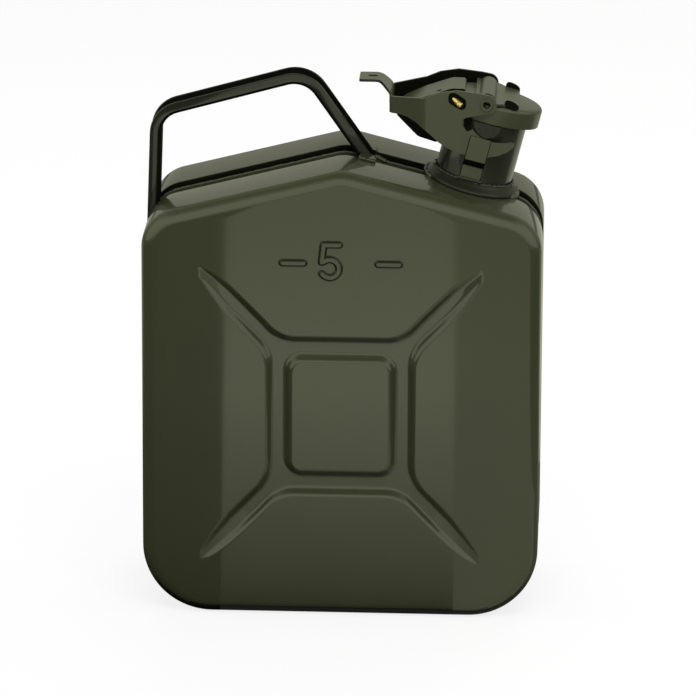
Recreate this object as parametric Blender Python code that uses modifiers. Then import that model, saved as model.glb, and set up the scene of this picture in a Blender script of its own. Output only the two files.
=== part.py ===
"""Steel five litre jerry can with a cam lever closure, built piece by piece.

Metres, +Z up, the front face toward -Y and the filler neck toward +X.
The origin is the middle of the base, on the ground.
"""

import math

import bmesh
import bpy
from mathutils import Matrix, Vector

MM = 0.001
GAP = 0.3 * MM                       # air between two pieces that touch
THROUGH = 60.0 * MM                  # cutters reach this far, well past what they cut

# Tank: overall sizes and pressed edges
BODY_WIDTH = 240.0 * MM
BODY_DEPTH = 112.0 * MM
BODY_HEIGHT = 278.7 * MM             # crest of the sloping roof
ROOF_SLOPE = math.radians(14.2)
CREST_RADIUS = 15.0 * MM
SHOULDER_RADIUS = 25.0 * MM
FOOT_RADIUS = 42.0 * MM
FACE_RADIUS = 8.0 * MM               # pressed edge round the two big faces
SHEET = 1.0 * MM

# Seam groove that runs round the can between the two pressings
GROOVE_HALF_WIDTH = 11.2 * MM
GROOVE_DEPTH = 8.0 * MM
GROOVE_LIP_RADIUS = 1.6 * MM
SEAM_THICKNESS = 1.2 * MM
SEAM_STANDING = 3.5 * MM             # how far the welded flange stands off the groove floor

# Crossed stiffening channel pressed into both big faces
CROSS_DEPTH = 4.0 * MM
CROSS_CENTRE_HEIGHT = 127.2 * MM
CROSS_PAD_WIDTH = 62.8 * MM          # raised rectangle left in the middle
CROSS_PAD_HEIGHT = 73.8 * MM
CROSS_CHANNEL = 11.3 * MM            # channel beside the rectangle
CROSS_ARM_WIDTH = 8.5 * MM
CROSS_TIP_X = 83.0 * MM
CROSS_CORNER_RADIUS = 6.0 * MM

# Carrying handle, a U channel that opens upward
HANDLE_WIDTH = 18.0 * MM
HANDLE_FLANGE = 7.0 * MM
HANDLE_SHEET = 1.5 * MM
HANDLE_TOP_SLOPE = math.radians(15.5)
HANDLE_PEAK_X = -21.6 * MM           # where the sloping grip meets the front leg
HANDLE_RISE = 52.1 * MM              # that corner above the roof crest
HANDLE_LEG_FROM_SIDE = 3.6 * MM
HANDLE_LEG_LEAN = math.radians(1.9)
HANDLE_REAR_BEND = 20.0 * MM
HANDLE_PEAK_BEND = 22.0 * MM
HANDLE_FRONT_LEAN = math.radians(54.9)
HANDLE_MOUTH = 4.0 * MM              # how far the cavity's cutter stands out of the open side
HANDLE_TAB_LENGTH = 8.5 * MM
HANDLE_TAB_REACH = 5.5 * MM
HANDLE_TAB_AHEAD = 2.6 * MM          # the tabs end this far past the front leg's line
HANDLE_FOOT_DEPTH = 45.0 * MM        # the rear leg ends this far below the crest
HANDLE_TOE_DEPTH = 12.0 * MM         # the front leg ends this far below the crest
HANDLE_TOE_CUT = 3.0 * MM            # and is cut off below the tabs

# Filler neck, square to the sloping roof
NECK_FROM_SIDE = 43.9 * MM           # from the side of the can, level
NECK_RADIUS = 23.3 * MM
NECK_WALL = 1.2 * MM
NECK_HEIGHT = 52.6 * MM
NECK_LIP_RADIUS = 1.5 * MM
NECK_INSIDE = 12.0 * MM              # how far the tube reaches down inside the tank
COLLAR_RADIUS = 28.2 * MM
COLLAR_STRETCH = 1.08                # the collar is a little longer across the can
COLLAR_HEIGHT = 6.2 * MM
COLLAR_TOP = 1.6 * MM

# Air tube inside the neck
VENT_RADIUS = 4.0 * MM
VENT_WALL = 0.8 * MM
VENT_WALL_GAP = 1.7 * MM             # between the air tube and the neck's wall
VENT_BELOW_LIP = 6.6 * MM
VENT_LENGTH = 84.0 * MM
CLIP_HEIGHT = 8.0 * MM
CLIP_WALL = 1.2 * MM
CLIP_BELOW_LIP = 22.6 * MM

# Cap, built in the neck's own frame
CAP_RADIUS = 24.4 * MM
CAP_REACH = 29.9 * MM                # the rim stands out further on the side away from the handle
CAP_SHEET = 1.0 * MM
CAP_SKIRT = 11.8 * MM
CAP_EDGE_RADIUS = 2.6 * MM
GASKET_THICKNESS = 1.4 * MM
GASKET_SIDE_GAP = 1.2 * MM
GASKET_BORE = 17.0 * MM
PLATE_RADIUS = 20.4 * MM
PLATE_SHEET = 1.0 * MM
RIVET_RADIUS = 2.4 * MM
RIVET_HEAD_RADIUS = 4.6 * MM
RIVET_HEAD = 1.2 * MM

# Pivot of the lever, in the neck's frame
PIVOT_OFFSET = -4.45 * MM            # across from the neck's axis
PIVOT_SINK = 0.15 * MM               # below the top of the cap

# Saddle on top of the cap, with two ears that carry the pivot rivets
SADDLE_SHEET = 1.4 * MM
EAR_SHEET = 1.2 * MM
EAR_RADIUS = 6.2 * MM
SADDLE_BACK = 7.5 * MM               # behind the pivot
SADDLE_FRONT = 10.25 * MM            # ahead of the pivot, up to the stop tabs
SADDLE_ROLL_RADIUS = 5.6 * MM
SADDLE_ROLL_LENGTH = 42.0 * MM
STOP_TAB_WIDTH = 9.0 * MM
STOP_TAB_HEIGHT = 3.2 * MM
STOP_TAB_SPACING = 42.4 * MM

# Arm that reaches back from the cap between the lever's sides
ARM_HALF_WIDTH = 14.0 * MM
ARM_SHEET = 1.4 * MM
ARM_RIM_CLEARANCE = 1.4 * MM         # air between the arm and the cap's rim
ARM_FOOT_REACH = 6.6 * MM            # how far the arm's foot comes in over the cap
ARM_HOLE_REACH = 24.0 * MM

# Hollow pivot rivets
PIVOT_RADIUS = 3.1 * MM
PIVOT_BORE = 2.1 * MM
PIVOT_HEAD_RADIUS = 4.1 * MM
PIVOT_HEAD = 0.9 * MM

# Clamping lever, a pressed U frame, measured from its pivot in the closed position
LEVER_SHEET = 1.6 * MM
LEVER_EAR = 6.0 * MM
LEVER_END_X = -58.6 * MM
LEVER_END_HALF_WIDTH = 16.2 * MM
LEVER_SPREAD_X = -37.4 * MM
LEVER_SPREAD_BEND = 6.0 * MM
LEVER_END_BEND = 4.0 * MM
LEVER_TAB_WIDTH = 19.0 * MM
LEVER_TAB_LENGTH = 13.0 * MM
LEVER_TAB_TOP = 10.2 * MM
LEVER_SLOT_LENGTH = 6.0 * MM
LEVER_SLOT_WIDTH = 3.4 * MM
LEVER_WINDOW_X = -17.6 * MM
LEVER_WINDOW_Z = 2.0 * MM
LEVER_WINDOW_LENGTH = 10.6 * MM
LEVER_WINDOW_HEIGHT = 10.4 * MM
CAM_RISE_PER_RADIAN = 9.0 * MM       # the cap's lift, and so the jaw's spiral
CAM_START = math.radians(-22.0)
CAM_END = math.radians(40.0)
CAM_CLEARANCE = 0.4 * MM

# Lugs on the neck that the jaws catch, and the guide straps outside the jaws
STUD_RADIUS = 4.2 * MM
STUD_BELOW_PIVOT = 16.6 * MM
BOSS_RADIUS = 8.2 * MM
BOSS_TOP_BELOW_PIVOT = 12.05 * MM
STRAP_WIDTH = 13.0 * MM
STRAP_SHEET = 1.4 * MM
STRAP_OFFSET = -2.5 * MM
STRAP_ABOVE_COLLAR = 1.4 * MM
STRAP_JOGGLE_BELOW_PIVOT = 34.85 * MM
STRAP_JOGGLE_LENGTH = 4.0 * MM
STRAP_BELOW_LIP = 17.6 * MM
STRAP_BEND = 2.0 * MM

# Brass lock pin that slides through the lever into the arm
PIN_RADIUS = 1.8 * MM
PIN_OUTER_X = -16.0 * MM
PIN_OUTER_Z = 0.0 * MM
PIN_INNER_X = -24.3 * MM
PIN_INNER_Z = 1.4 * MM
GUIDE_SHEET = 1.4 * MM
GUIDE_WIDTH = 15.0 * MM
GUIDE_HEIGHT = 13.0 * MM
GUIDE_BOSS_RADIUS = 3.4 * MM
GUIDE_BOSS_LENGTH = 4.0 * MM

# Values worked out from the sizes above
CREST_CORNER = BODY_HEIGHT + CREST_RADIUS / math.cos(ROOF_SLOPE) - CREST_RADIUS
ROOF_TANGENT = Vector((math.cos(ROOF_SLOPE), 0, -math.sin(ROOF_SLOPE)))
ROOF_NORMAL = Vector((math.sin(ROOF_SLOPE), 0, math.cos(ROOF_SLOPE)))
HANDLE_LEG_X = HANDLE_LEG_FROM_SIDE - BODY_WIDTH / 2
NECK_ALONG_ROOF = (BODY_WIDTH / 2 - NECK_FROM_SIDE) / math.cos(ROOF_SLOPE)
NECK_BASE = Vector((0, 0, CREST_CORNER)) + ROOF_TANGENT * NECK_ALONG_ROOF
CAP_TOP = NECK_HEIGHT + GAP + GASKET_THICKNESS + GAP + CAP_SHEET
PIVOT_HEIGHT = CAP_TOP - PIVOT_SINK
VENT_OFFSET = NECK_WALL + VENT_WALL_GAP + VENT_RADIUS - NECK_RADIUS
VENT_TOP = NECK_HEIGHT - VENT_BELOW_LIP
CLIP_TOP = NECK_HEIGHT - CLIP_BELOW_LIP
BOSS_TOP = PIVOT_HEIGHT - BOSS_TOP_BELOW_PIVOT
STRAP_FOOT = COLLAR_HEIGHT + STRAP_ABOVE_COLLAR
STRAP_TOP = NECK_HEIGHT - STRAP_BELOW_LIP
STRAP_JOGGLE_TOP = PIVOT_HEIGHT - STRAP_JOGGLE_BELOW_PIVOT
PIVOT = NECK_BASE + ROOF_TANGENT * PIVOT_OFFSET + ROOF_NORMAL * PIVOT_HEIGHT
EAR_INNER = CAP_RADIUS + GAP
EAR_OUTER = EAR_INNER + EAR_SHEET
LEVER_INNER = EAR_OUTER + GAP
LEVER_OUTER = LEVER_INNER + LEVER_SHEET
STRAP_INNER = LEVER_OUTER + GAP
DRAWN = CAP_RADIUS / 24.4            # one millimetre on the closure's drawing, made for a 24.4 mm cap radius
SIDES = (("front", -1.0), ("rear", 1.0))

PAINT = (0.075, 0.079, 0.050, 1.0)
DARK_STEEL = (0.030, 0.032, 0.024, 1.0)
BARE_STEEL = (0.42, 0.42, 0.40, 1.0)
BRASS = (0.74, 0.56, 0.22, 1.0)
RUBBER = (0.015, 0.015, 0.015, 1.0)


def clear_scene():
    """Removes every object of the start scene."""
    for item in list(bpy.data.objects):
        bpy.data.objects.remove(item, do_unlink=True)


def new_collection(name):
    group = bpy.data.collections.new(name)
    bpy.context.scene.collection.children.link(group)
    return group


def material(name, colour, roughness, metallic):
    made = bpy.data.materials.new(name)
    made.use_nodes = True
    shader = made.node_tree.nodes["Principled BSDF"]
    shader.inputs["Base Color"].default_value = colour
    shader.inputs["Roughness"].default_value = roughness
    shader.inputs["Metallic"].default_value = metallic
    return made


def paint(obj, colour=PAINT, roughness=0.38, metallic=0.0):
    """Gives a piece its own material, named after the piece."""
    obj.data.materials.clear()
    obj.data.materials.append(material(obj.name + "_finish", colour, roughness, metallic))


def frame(name, place, lean=0.0, parent=None):
    """An empty that carries a group of pieces, leaning about Y."""
    made = bpy.data.objects.new(name, None)
    PARTS.objects.link(made)
    made.empty_display_size = 0.02
    made.location = place
    made.rotation_euler = (0, lean, 0)
    made.parent = parent
    return made


def add_mesh(name, mesh, parent=None, group=None):
    made = bpy.data.objects.new(name, mesh)
    (group or PARTS).objects.link(made)
    made.parent = parent
    if group is CUTTERS:
        made.hide_render = True
        made.display_type = "WIRE"
    return made


def fillet_path(points, radii, offset=0.0, closed=False, step=math.radians(15)):
    """Moves a 2D path to its left by offset and rounds its corners."""
    count = len(points)
    pts = [Vector(p) for p in points]
    spans = count if closed else count - 1
    moved = []
    for i in range(spans):
        along = (pts[(i + 1) % count] - pts[i]).normalized()
        left = Vector((-along.y, along.x)) * offset
        moved.append((pts[i] + left, pts[(i + 1) % count] + left, along))
    result = []
    for i in range(count):
        if not closed and i in (0, count - 1):
            result.append(moved[0][0] if i == 0 else moved[-1][1])
            continue
        _, end, into = moved[i - 1]
        start, _, out = moved[i]
        turn = into.x * out.y - into.y * out.x
        if abs(turn) < 1e-6:
            result.append(start)
            continue
        ahead = ((start - end).x * out.y - (start - end).y * out.x) / turn
        corner = end + into * ahead
        angle = math.atan2(turn, into.dot(out))
        radius = radii[i] - offset * math.copysign(1.0, angle)
        if radius < 1e-6:
            result.append(corner)
            continue
        reach = radius * math.tan(abs(angle) / 2)
        centre = corner - into * reach + Vector((-into.y, into.x)) * math.copysign(radius, angle)
        arm = corner - into * reach - centre
        pieces = max(1, round(abs(angle) / step))
        for j in range(pieces + 1):
            swing = angle * j / pieces
            result.append(centre + Vector((arm.x * math.cos(swing) - arm.y * math.sin(swing),
                                           arm.x * math.sin(swing) + arm.y * math.cos(swing))))
    return result


def band(points, radii, right, left, step=math.radians(15)):
    """Closed outline of a strip that follows a path between two offsets."""
    near = fillet_path(points, radii, right, step=step)
    far = fillet_path(points, radii, left, step=step)
    return near + far[::-1]


def prism(name, outline, low, high, plane="XZ", parent=None, group=None):
    """Extrudes a flat outline: XZ along Y, XY along Z, YZ along X."""
    place = {"XZ": lambda a, b, c: (a, c, b), "XY": lambda a, b, c: (a, b, c),
             "YZ": lambda a, b, c: (c, a, b)}
    bm = bmesh.new()
    face = bm.faces.new([bm.verts.new(place[plane](p.x, p.y, low)) for p in outline])
    side = bmesh.ops.extrude_face_region(bm, geom=[face])
    shift = Vector(place[plane](0, 0, high - low))
    bmesh.ops.translate(bm, vec=shift, verts=[v for v in side["geom"] if isinstance(v, bmesh.types.BMVert)])
    bmesh.ops.recalc_face_normals(bm, faces=bm.faces)
    mesh = bpy.data.meshes.new(name)
    bm.to_mesh(mesh)
    bm.free()
    return add_mesh(name, mesh, parent, group)


def cylinder(name, radius, low, high, axis="Z", place=(0, 0), parent=None, group=None, count=32):
    """A cylinder from low to high along Z or Y, its axis through place."""
    bm = bmesh.new()
    bmesh.ops.create_cone(bm, cap_ends=True, segments=count, radius1=radius, radius2=radius, depth=high - low)
    bmesh.ops.translate(bm, vec=(0, 0, (low + high) / 2), verts=bm.verts)
    if axis == "Y":
        bmesh.ops.rotate(bm, matrix=Matrix.Rotation(-math.pi / 2, 3, "X"), verts=bm.verts)
        bmesh.ops.translate(bm, vec=(place[0], 0, place[1]), verts=bm.verts)
    else:
        bmesh.ops.translate(bm, vec=(place[0], place[1], 0), verts=bm.verts)
    mesh = bpy.data.meshes.new(name)
    bm.to_mesh(mesh)
    bm.free()
    return add_mesh(name, mesh, parent, group)


def box(name, low, high, parent=None, group=None):
    bm = bmesh.new()
    bmesh.ops.create_cube(bm, size=1.0)
    size = Vector(high) - Vector(low)
    bmesh.ops.scale(bm, vec=size, verts=bm.verts)
    bmesh.ops.translate(bm, vec=Vector(low) + size / 2, verts=bm.verts)
    mesh = bpy.data.meshes.new(name)
    bm.to_mesh(mesh)
    bm.free()
    return add_mesh(name, mesh, parent, group)


def turned(name, profile, parent=None, group=None, steps=48):
    """A turned solid: a closed profile of (radius, height) points and a Screw modifier."""
    area = sum(a[0] * b[1] - b[0] * a[1] for a, b in zip(profile, profile[1:] + profile[:1]))
    if area > 0:
        profile = profile[::-1]
    mesh = bpy.data.meshes.new(name)
    edges = [(i, (i + 1) % len(profile)) for i in range(len(profile))]
    if profile[0][0] < 1e-9 and profile[-1][0] < 1e-9:
        edges.pop()
    mesh.from_pydata([(r, 0, h) for r, h in profile], edges, [])
    made = add_mesh(name, mesh, parent, group)
    screw = made.modifiers.new("turn", "SCREW")
    screw.steps = steps
    screw.render_steps = steps
    screw.use_merge_vertices = True
    screw.merge_threshold = 1e-5
    return made


def loft(name, rings, caps=(False, False), loop=False, parent=None, group=None):
    """Skins a row of rings that have the same number of points."""
    bm = bmesh.new()
    rows = [[bm.verts.new(p) for p in ring] for ring in rings]
    pairs = list(zip(rows, rows[1:]))
    if loop:
        pairs.append((rows[-1], rows[0]))
    for near, far in pairs:
        for i in range(len(near)):
            bm.faces.new((near[i - 1], near[i], far[i], far[i - 1]))
    if caps[0]:
        bm.faces.new(rows[0])
    if caps[1]:
        bm.faces.new(rows[-1])
    bmesh.ops.recalc_face_normals(bm, faces=bm.faces)
    mesh = bpy.data.meshes.new(name)
    bm.to_mesh(mesh)
    bm.free()
    return add_mesh(name, mesh, parent, group)


def combine(obj, other, operation="DIFFERENCE"):
    """Cuts, joins or intersects a piece with a tool object."""
    made = obj.modifiers.new(operation.lower() + "_" + other.name, "BOOLEAN")
    made.operation = operation
    made.object = other
    made.solver = "EXACT"


def smooth(obj, angle=math.radians(28)):
    obj.data.shade_smooth()
    obj.data.set_sharp_from_angle(angle=angle)


def can_outline(inset):
    """Outline of the can seen from the front, counter-clockwise from the lower left."""
    half = BODY_WIDTH / 2
    shoulder = CREST_CORNER - half * math.tan(ROOF_SLOPE)
    corners = [(-half, 0), (half, 0), (half, shoulder), (0, CREST_CORNER), (-half, shoulder)]
    radii = [FOOT_RADIUS, FOOT_RADIUS, SHOULDER_RADIUS, CREST_RADIUS, SHOULDER_RADIUS]
    return fillet_path(corners, radii, inset, closed=True, step=math.radians(11))


def arc_stations(centre, radius, start, end, count):
    """(depth, inset) pairs along an arc of the pressing's cross section."""
    return [(centre[0] + radius * math.cos(start + (end - start) * i / count),
             centre[1] + radius * math.sin(start + (end - start) * i / count)) for i in range(count + 1)]


def pressing_skin(name, side):
    """Open skin of one half: flat face, rounded edge, side wall, groove wall and groove floor."""
    quarter = math.pi / 2
    half = BODY_DEPTH / 2
    lip = GROOVE_LIP_RADIUS
    floor = GROOVE_HALF_WIDTH - lip
    stations = arc_stations((half - FACE_RADIUS, FACE_RADIUS), FACE_RADIUS, 0, -quarter, 5)
    stations += arc_stations((GROOVE_HALF_WIDTH + lip, lip), lip, -quarter, -2 * quarter, 3)
    stations += arc_stations((floor, GROOVE_DEPTH - lip), lip, 0, quarter, 3)
    stations.append((SEAM_THICKNESS / 2 + GAP, GROOVE_DEPTH))
    rings = [[(p.x, side * depth, p.y) for p in can_outline(inset)] for depth, inset in stations]
    shell = loft(name, rings, caps=(True, False))
    if shell.data.polygons[-1].normal.y * side < 0:
        shell.data.flip_normals()
    wall = shell.modifiers.new("sheet", "SOLIDIFY")
    wall.thickness = SHEET
    wall.offset = -1.0
    wall.use_even_offset = True
    return shell


def cross_tool(name, side, grow, depth, proud):
    """The crossed channel as a solid: a ring round the pad and four arms that run out."""
    face = side * BODY_DEPTH / 2
    bottom = face - side * depth
    top = face + side * proud
    pad_x = CROSS_PAD_WIDTH / 2 - grow
    pad_z = CROSS_PAD_HEIGHT / 2 - grow
    ring_x = CROSS_PAD_WIDTH / 2 + CROSS_CHANNEL + grow
    ring_z = CROSS_PAD_HEIGHT / 2 + CROSS_CHANNEL + grow

    def rounded(half_x, half_z, radius):
        corners = [(-half_x, -half_z), (half_x, -half_z), (half_x, half_z), (-half_x, half_z)]
        flat = fillet_path(corners, [radius] * 4, closed=True, step=math.radians(30))
        return [p + Vector((0, CROSS_CENTRE_HEIGHT)) for p in flat]

    low, high = sorted((bottom, top))
    ring = prism(name, rounded(ring_x, ring_z, CROSS_CORNER_RADIUS), low, high, group=CUTTERS)
    arm_start = Vector((CROSS_PAD_WIDTH / 2, CROSS_PAD_HEIGHT / 2))
    reach = (CROSS_TIP_X - arm_start.x) * math.sqrt(2)
    half = CROSS_ARM_WIDTH / 2 + grow
    for index in range(4):
        quarter_x = 1 if index in (0, 3) else -1
        quarter_z = 1 if index in (0, 1) else -1
        run = Vector((quarter_x, 0, quarter_z)).normalized()
        start = Vector((quarter_x * arm_start.x, 0, CROSS_CENTRE_HEIGHT + quarter_z * arm_start.y))
        across = Vector((0, 1, 0)).cross(run)
        sections = []
        for along, sink in ((-6 * MM, depth), (reach * 0.35, depth), (reach, grow)):
            mid = start + run * along
            floor = face - side * sink
            sections.append([mid + across * a + Vector((0, y, 0))
                             for a, y in ((-half, top), (half, top), (half, floor), (-half, floor))])
        arm = loft("%s_arm_%d" % (name, index), sections, caps=(True, True), group=CUTTERS)
        combine(ring, arm, "UNION")
    pad = prism(name + "_pad", rounded(pad_x, pad_z, CROSS_CORNER_RADIUS - 1.5 * MM),
                low - 1 * MM, high + 1 * MM, group=CUTTERS)
    combine(ring, pad)
    return ring


def build_shell(name, side, neck_hole):
    """One pressed half of the tank, with its crossed channel and half of the neck hole."""
    shell = pressing_skin(name, side)
    combine(shell, cross_tool(name + "_cross_sheet", side, SHEET, CROSS_DEPTH + SHEET, -SHEET / 2), "UNION")
    combine(shell, cross_tool(name + "_cross_cut", side, 0.0, CROSS_DEPTH, 2 * MM))
    combine(shell, neck_hole)
    paint(shell)
    smooth(shell)
    return shell


def outline_ring(name, low, high, outer, inner, group=None):
    """A closed band that follows the can's outline between two insets."""
    rings = [[(p.x, depth, p.y) for p in can_outline(inset)]
             for depth, inset in ((low, outer), (high, outer), (high, inner), (low, inner))]
    return loft(name, rings, loop=True, group=group)


def build_seam():
    """The two flanges welded face to face, standing in the groove, cut away round the neck."""
    half = SEAM_THICKNESS / 2
    seam = outline_ring("seam_flange", -half, half, GROOVE_DEPTH - SEAM_STANDING, GROOVE_DEPTH + SHEET)
    gate = cylinder("seam_neck_gate", COLLAR_RADIUS + GAP, -THROUGH, THROUGH / 2, parent=NECK, group=CUTTERS)
    combine(seam, gate)
    paint(seam, DARK_STEEL, 0.5)
    return seam


def build_handle():
    """The carrying handle: leg in the rear groove, sloping grip and a leaning front leg."""
    peak = Vector((HANDLE_PEAK_X, BODY_HEIGHT + HANDLE_RISE))
    rear_run = (peak.x - HANDLE_LEG_X)
    rear = Vector((HANDLE_LEG_X, peak.y - rear_run * math.tan(HANDLE_TOP_SLOPE)))
    leg_end = BODY_HEIGHT - HANDLE_FOOT_DEPTH
    foot = Vector((rear.x - (rear.y - leg_end) * math.tan(HANDLE_LEG_LEAN), leg_end))
    drop = peak.y - BODY_HEIGHT + HANDLE_TOE_DEPTH
    toe = peak + Vector((drop / math.tan(HANDLE_FRONT_LEAN), -drop))
    path = [foot, rear, peak, toe]
    bends = [0, HANDLE_REAR_BEND, HANDLE_PEAK_BEND, 0]
    half = HANDLE_WIDTH / 2
    handle = prism("carry_handle", band(path, bends, 0, -HANDLE_FLANGE), -half, half)
    cavity = prism("handle_cavity", band(path, bends, HANDLE_MOUTH, HANDLE_SHEET - HANDLE_FLANGE),
                   HANDLE_SHEET - half, half - HANDLE_SHEET, group=CUTTERS)
    combine(handle, cavity)
    floor = prism("handle_floor", can_outline(GROOVE_DEPTH - GAP), -half - MM, half + MM, group=CUTTERS)
    combine(handle, floor)
    fin = prism("handle_fin", can_outline(GROOVE_DEPTH - SEAM_STANDING - GAP), -half + HANDLE_SHEET,
                half - HANDLE_SHEET, group=CUTTERS)
    combine(handle, fin)
    roof = frame("front_foot_frame", (0, 0, CREST_CORNER), ROOF_SLOPE)
    crossing = toe.x - (BODY_HEIGHT - toe.y) / math.tan(HANDLE_FRONT_LEAN)
    tab_end = (crossing + HANDLE_TAB_AHEAD) / math.cos(ROOF_SLOPE)
    trim = box("handle_toe_trim", (tab_end - HANDLE_TAB_LENGTH - HANDLE_TAB_AHEAD, -half - MM, -THROUGH),
               (tab_end + THROUGH, half + MM, -HANDLE_TOE_CUT), roof, CUTTERS)
    combine(handle, trim)
    for name, side in SIDES:
        low, high = sorted((side * (half - HANDLE_SHEET), side * (half + HANDLE_TAB_REACH)))
        tab = box("handle_tab_" + name, (tab_end - HANDLE_TAB_LENGTH, low, GAP),
                  (tab_end, high, GAP + HANDLE_SHEET), roof, CUTTERS)
        combine(handle, tab, "UNION")
    paint(handle)
    smooth(handle)
    return handle


def build_neck():
    """The filler neck: a turned tube with a rolled lip."""
    inner = NECK_RADIUS - NECK_WALL
    top = NECK_HEIGHT
    lip = NECK_LIP_RADIUS
    roll = [(NECK_RADIUS - lip + lip * math.cos(a), top - lip + lip * math.sin(a))
            for a in (math.radians(d) for d in range(0, 181, 30))]
    profile = roll + [(inner, top - 2 * lip), (inner, -NECK_INSIDE), (NECK_RADIUS, -NECK_INSIDE)]
    neck = turned("filler_neck", profile, NECK)
    paint(neck)
    smooth(neck)
    return neck


def build_collar():
    """The pressed collar that spans the groove and seats the neck on both rims."""
    bottom = GAP - GROOVE_DEPTH
    profile = [(NECK_RADIUS - 3 * MM, bottom), (NECK_RADIUS - 3 * MM, COLLAR_HEIGHT),
               (NECK_RADIUS + COLLAR_TOP, COLLAR_HEIGHT),
               (NECK_RADIUS + 2 * COLLAR_TOP, COLLAR_HEIGHT * 0.55),
               (COLLAR_RADIUS - 0.4 * MM, COLLAR_HEIGHT * 0.24),
               (COLLAR_RADIUS, GAP), (COLLAR_RADIUS, bottom)]
    collar = turned("neck_collar", profile, NECK)
    collar.scale = (1, COLLAR_STRETCH, 1)
    combine(collar, cylinder("collar_bore", NECK_RADIUS + GAP, -THROUGH, THROUGH, parent=NECK, group=CUTTERS))
    tongue = GROOVE_HALF_WIDTH - 0.6 * GROOVE_LIP_RADIUS - GAP
    for name, side in SIDES:
        low, high = sorted((side * tongue, side * THROUGH))
        rim = box("collar_rim_" + name, (-THROUGH, low, -THROUGH), (THROUGH, high, GAP), NECK, CUTTERS)
        combine(collar, rim)
    combine(collar, prism("collar_floor", can_outline(GROOVE_DEPTH - GAP), -THROUGH, THROUGH, group=CUTTERS))
    paint(collar)
    smooth(collar)
    return collar


def build_vent():
    """The air tube inside the neck and the clip that holds it to the wall."""
    tube = turned("vent_tube", [(VENT_RADIUS, VENT_TOP - VENT_LENGTH), (VENT_RADIUS, VENT_TOP),
                                (VENT_RADIUS - VENT_WALL, VENT_TOP),
                                (VENT_RADIUS - VENT_WALL, VENT_TOP - VENT_LENGTH)], NECK, steps=16)
    tube.location = (VENT_OFFSET, 0, 0)
    paint(tube, BARE_STEEL, 0.35, 1.0)
    smooth(tube)
    reach = NECK_RADIUS - NECK_WALL - GAP
    half = VENT_RADIUS + CLIP_WALL
    clip = box("vent_clip", (-reach - MM, -half, CLIP_TOP - CLIP_HEIGHT),
               (VENT_OFFSET + half, half, CLIP_TOP), NECK)
    combine(clip, cylinder("clip_bore", VENT_RADIUS + GAP, 0, VENT_TOP, place=(VENT_OFFSET, 0), parent=NECK,
                           group=CUTTERS, count=16))
    combine(clip, cylinder("clip_wall", reach, 0, VENT_TOP, parent=NECK, group=CUTTERS, count=48),
            "INTERSECT")
    paint(clip, BARE_STEEL, 0.4, 1.0)
    return tube, clip


def build_catches():
    """On each side of the neck: the lug that the jaw catches and the strap outside the jaw."""
    wall = cylinder("catch_wall", NECK_RADIUS + GAP, -THROUGH, NECK_HEIGHT, parent=NECK, group=CUTTERS,
                    count=48)
    stud = NECK.matrix_basis.inverted() @ (PIVOT - Vector((0, 0, STUD_BELOW_PIVOT)))
    built = []
    for name, side in SIDES:
        low, high = sorted((side * (NECK_RADIUS - 3 * MM), side * (LEVER_INNER - GAP)))
        lug = cylinder("jaw_lug_" + name, BOSS_RADIUS, low, high, "Y", (stud.x, BOSS_TOP), NECK)
        top = box("lug_top_" + name, (-THROUGH, low - MM, BOSS_TOP), (THROUGH, high + MM, BOSS_TOP + THROUGH),
                  NECK, CUTTERS)
        combine(lug, top)
        low, high = sorted((side * (NECK_RADIUS - 3 * MM), side * (LEVER_OUTER - 0.1 * MM)))
        peg = cylinder("lug_peg_" + name, STUD_RADIUS, low, high, "Y", (stud.x, stud.z), NECK, CUTTERS, 24)
        combine(lug, peg, "UNION")
        combine(lug, wall)
        paint(lug)
        smooth(lug)
        section = [(NECK_RADIUS, STRAP_FOOT), (NECK_RADIUS, STRAP_JOGGLE_TOP - STRAP_JOGGLE_LENGTH),
                   (STRAP_INNER, STRAP_JOGGLE_TOP), (STRAP_INNER, STRAP_TOP)]
        standing = band(section, [0, STRAP_BEND, STRAP_BEND, 0], 0, -STRAP_SHEET)
        flat = [Vector((side * p.x, p.y)) for p in standing]
        strap = prism("guide_strap_" + name, flat, STRAP_OFFSET - STRAP_WIDTH / 2,
                      STRAP_OFFSET + STRAP_WIDTH / 2, "YZ", NECK)
        combine(strap, wall)
        paint(strap)
        smooth(strap)
        built += [lug, strap]
    return built


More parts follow.
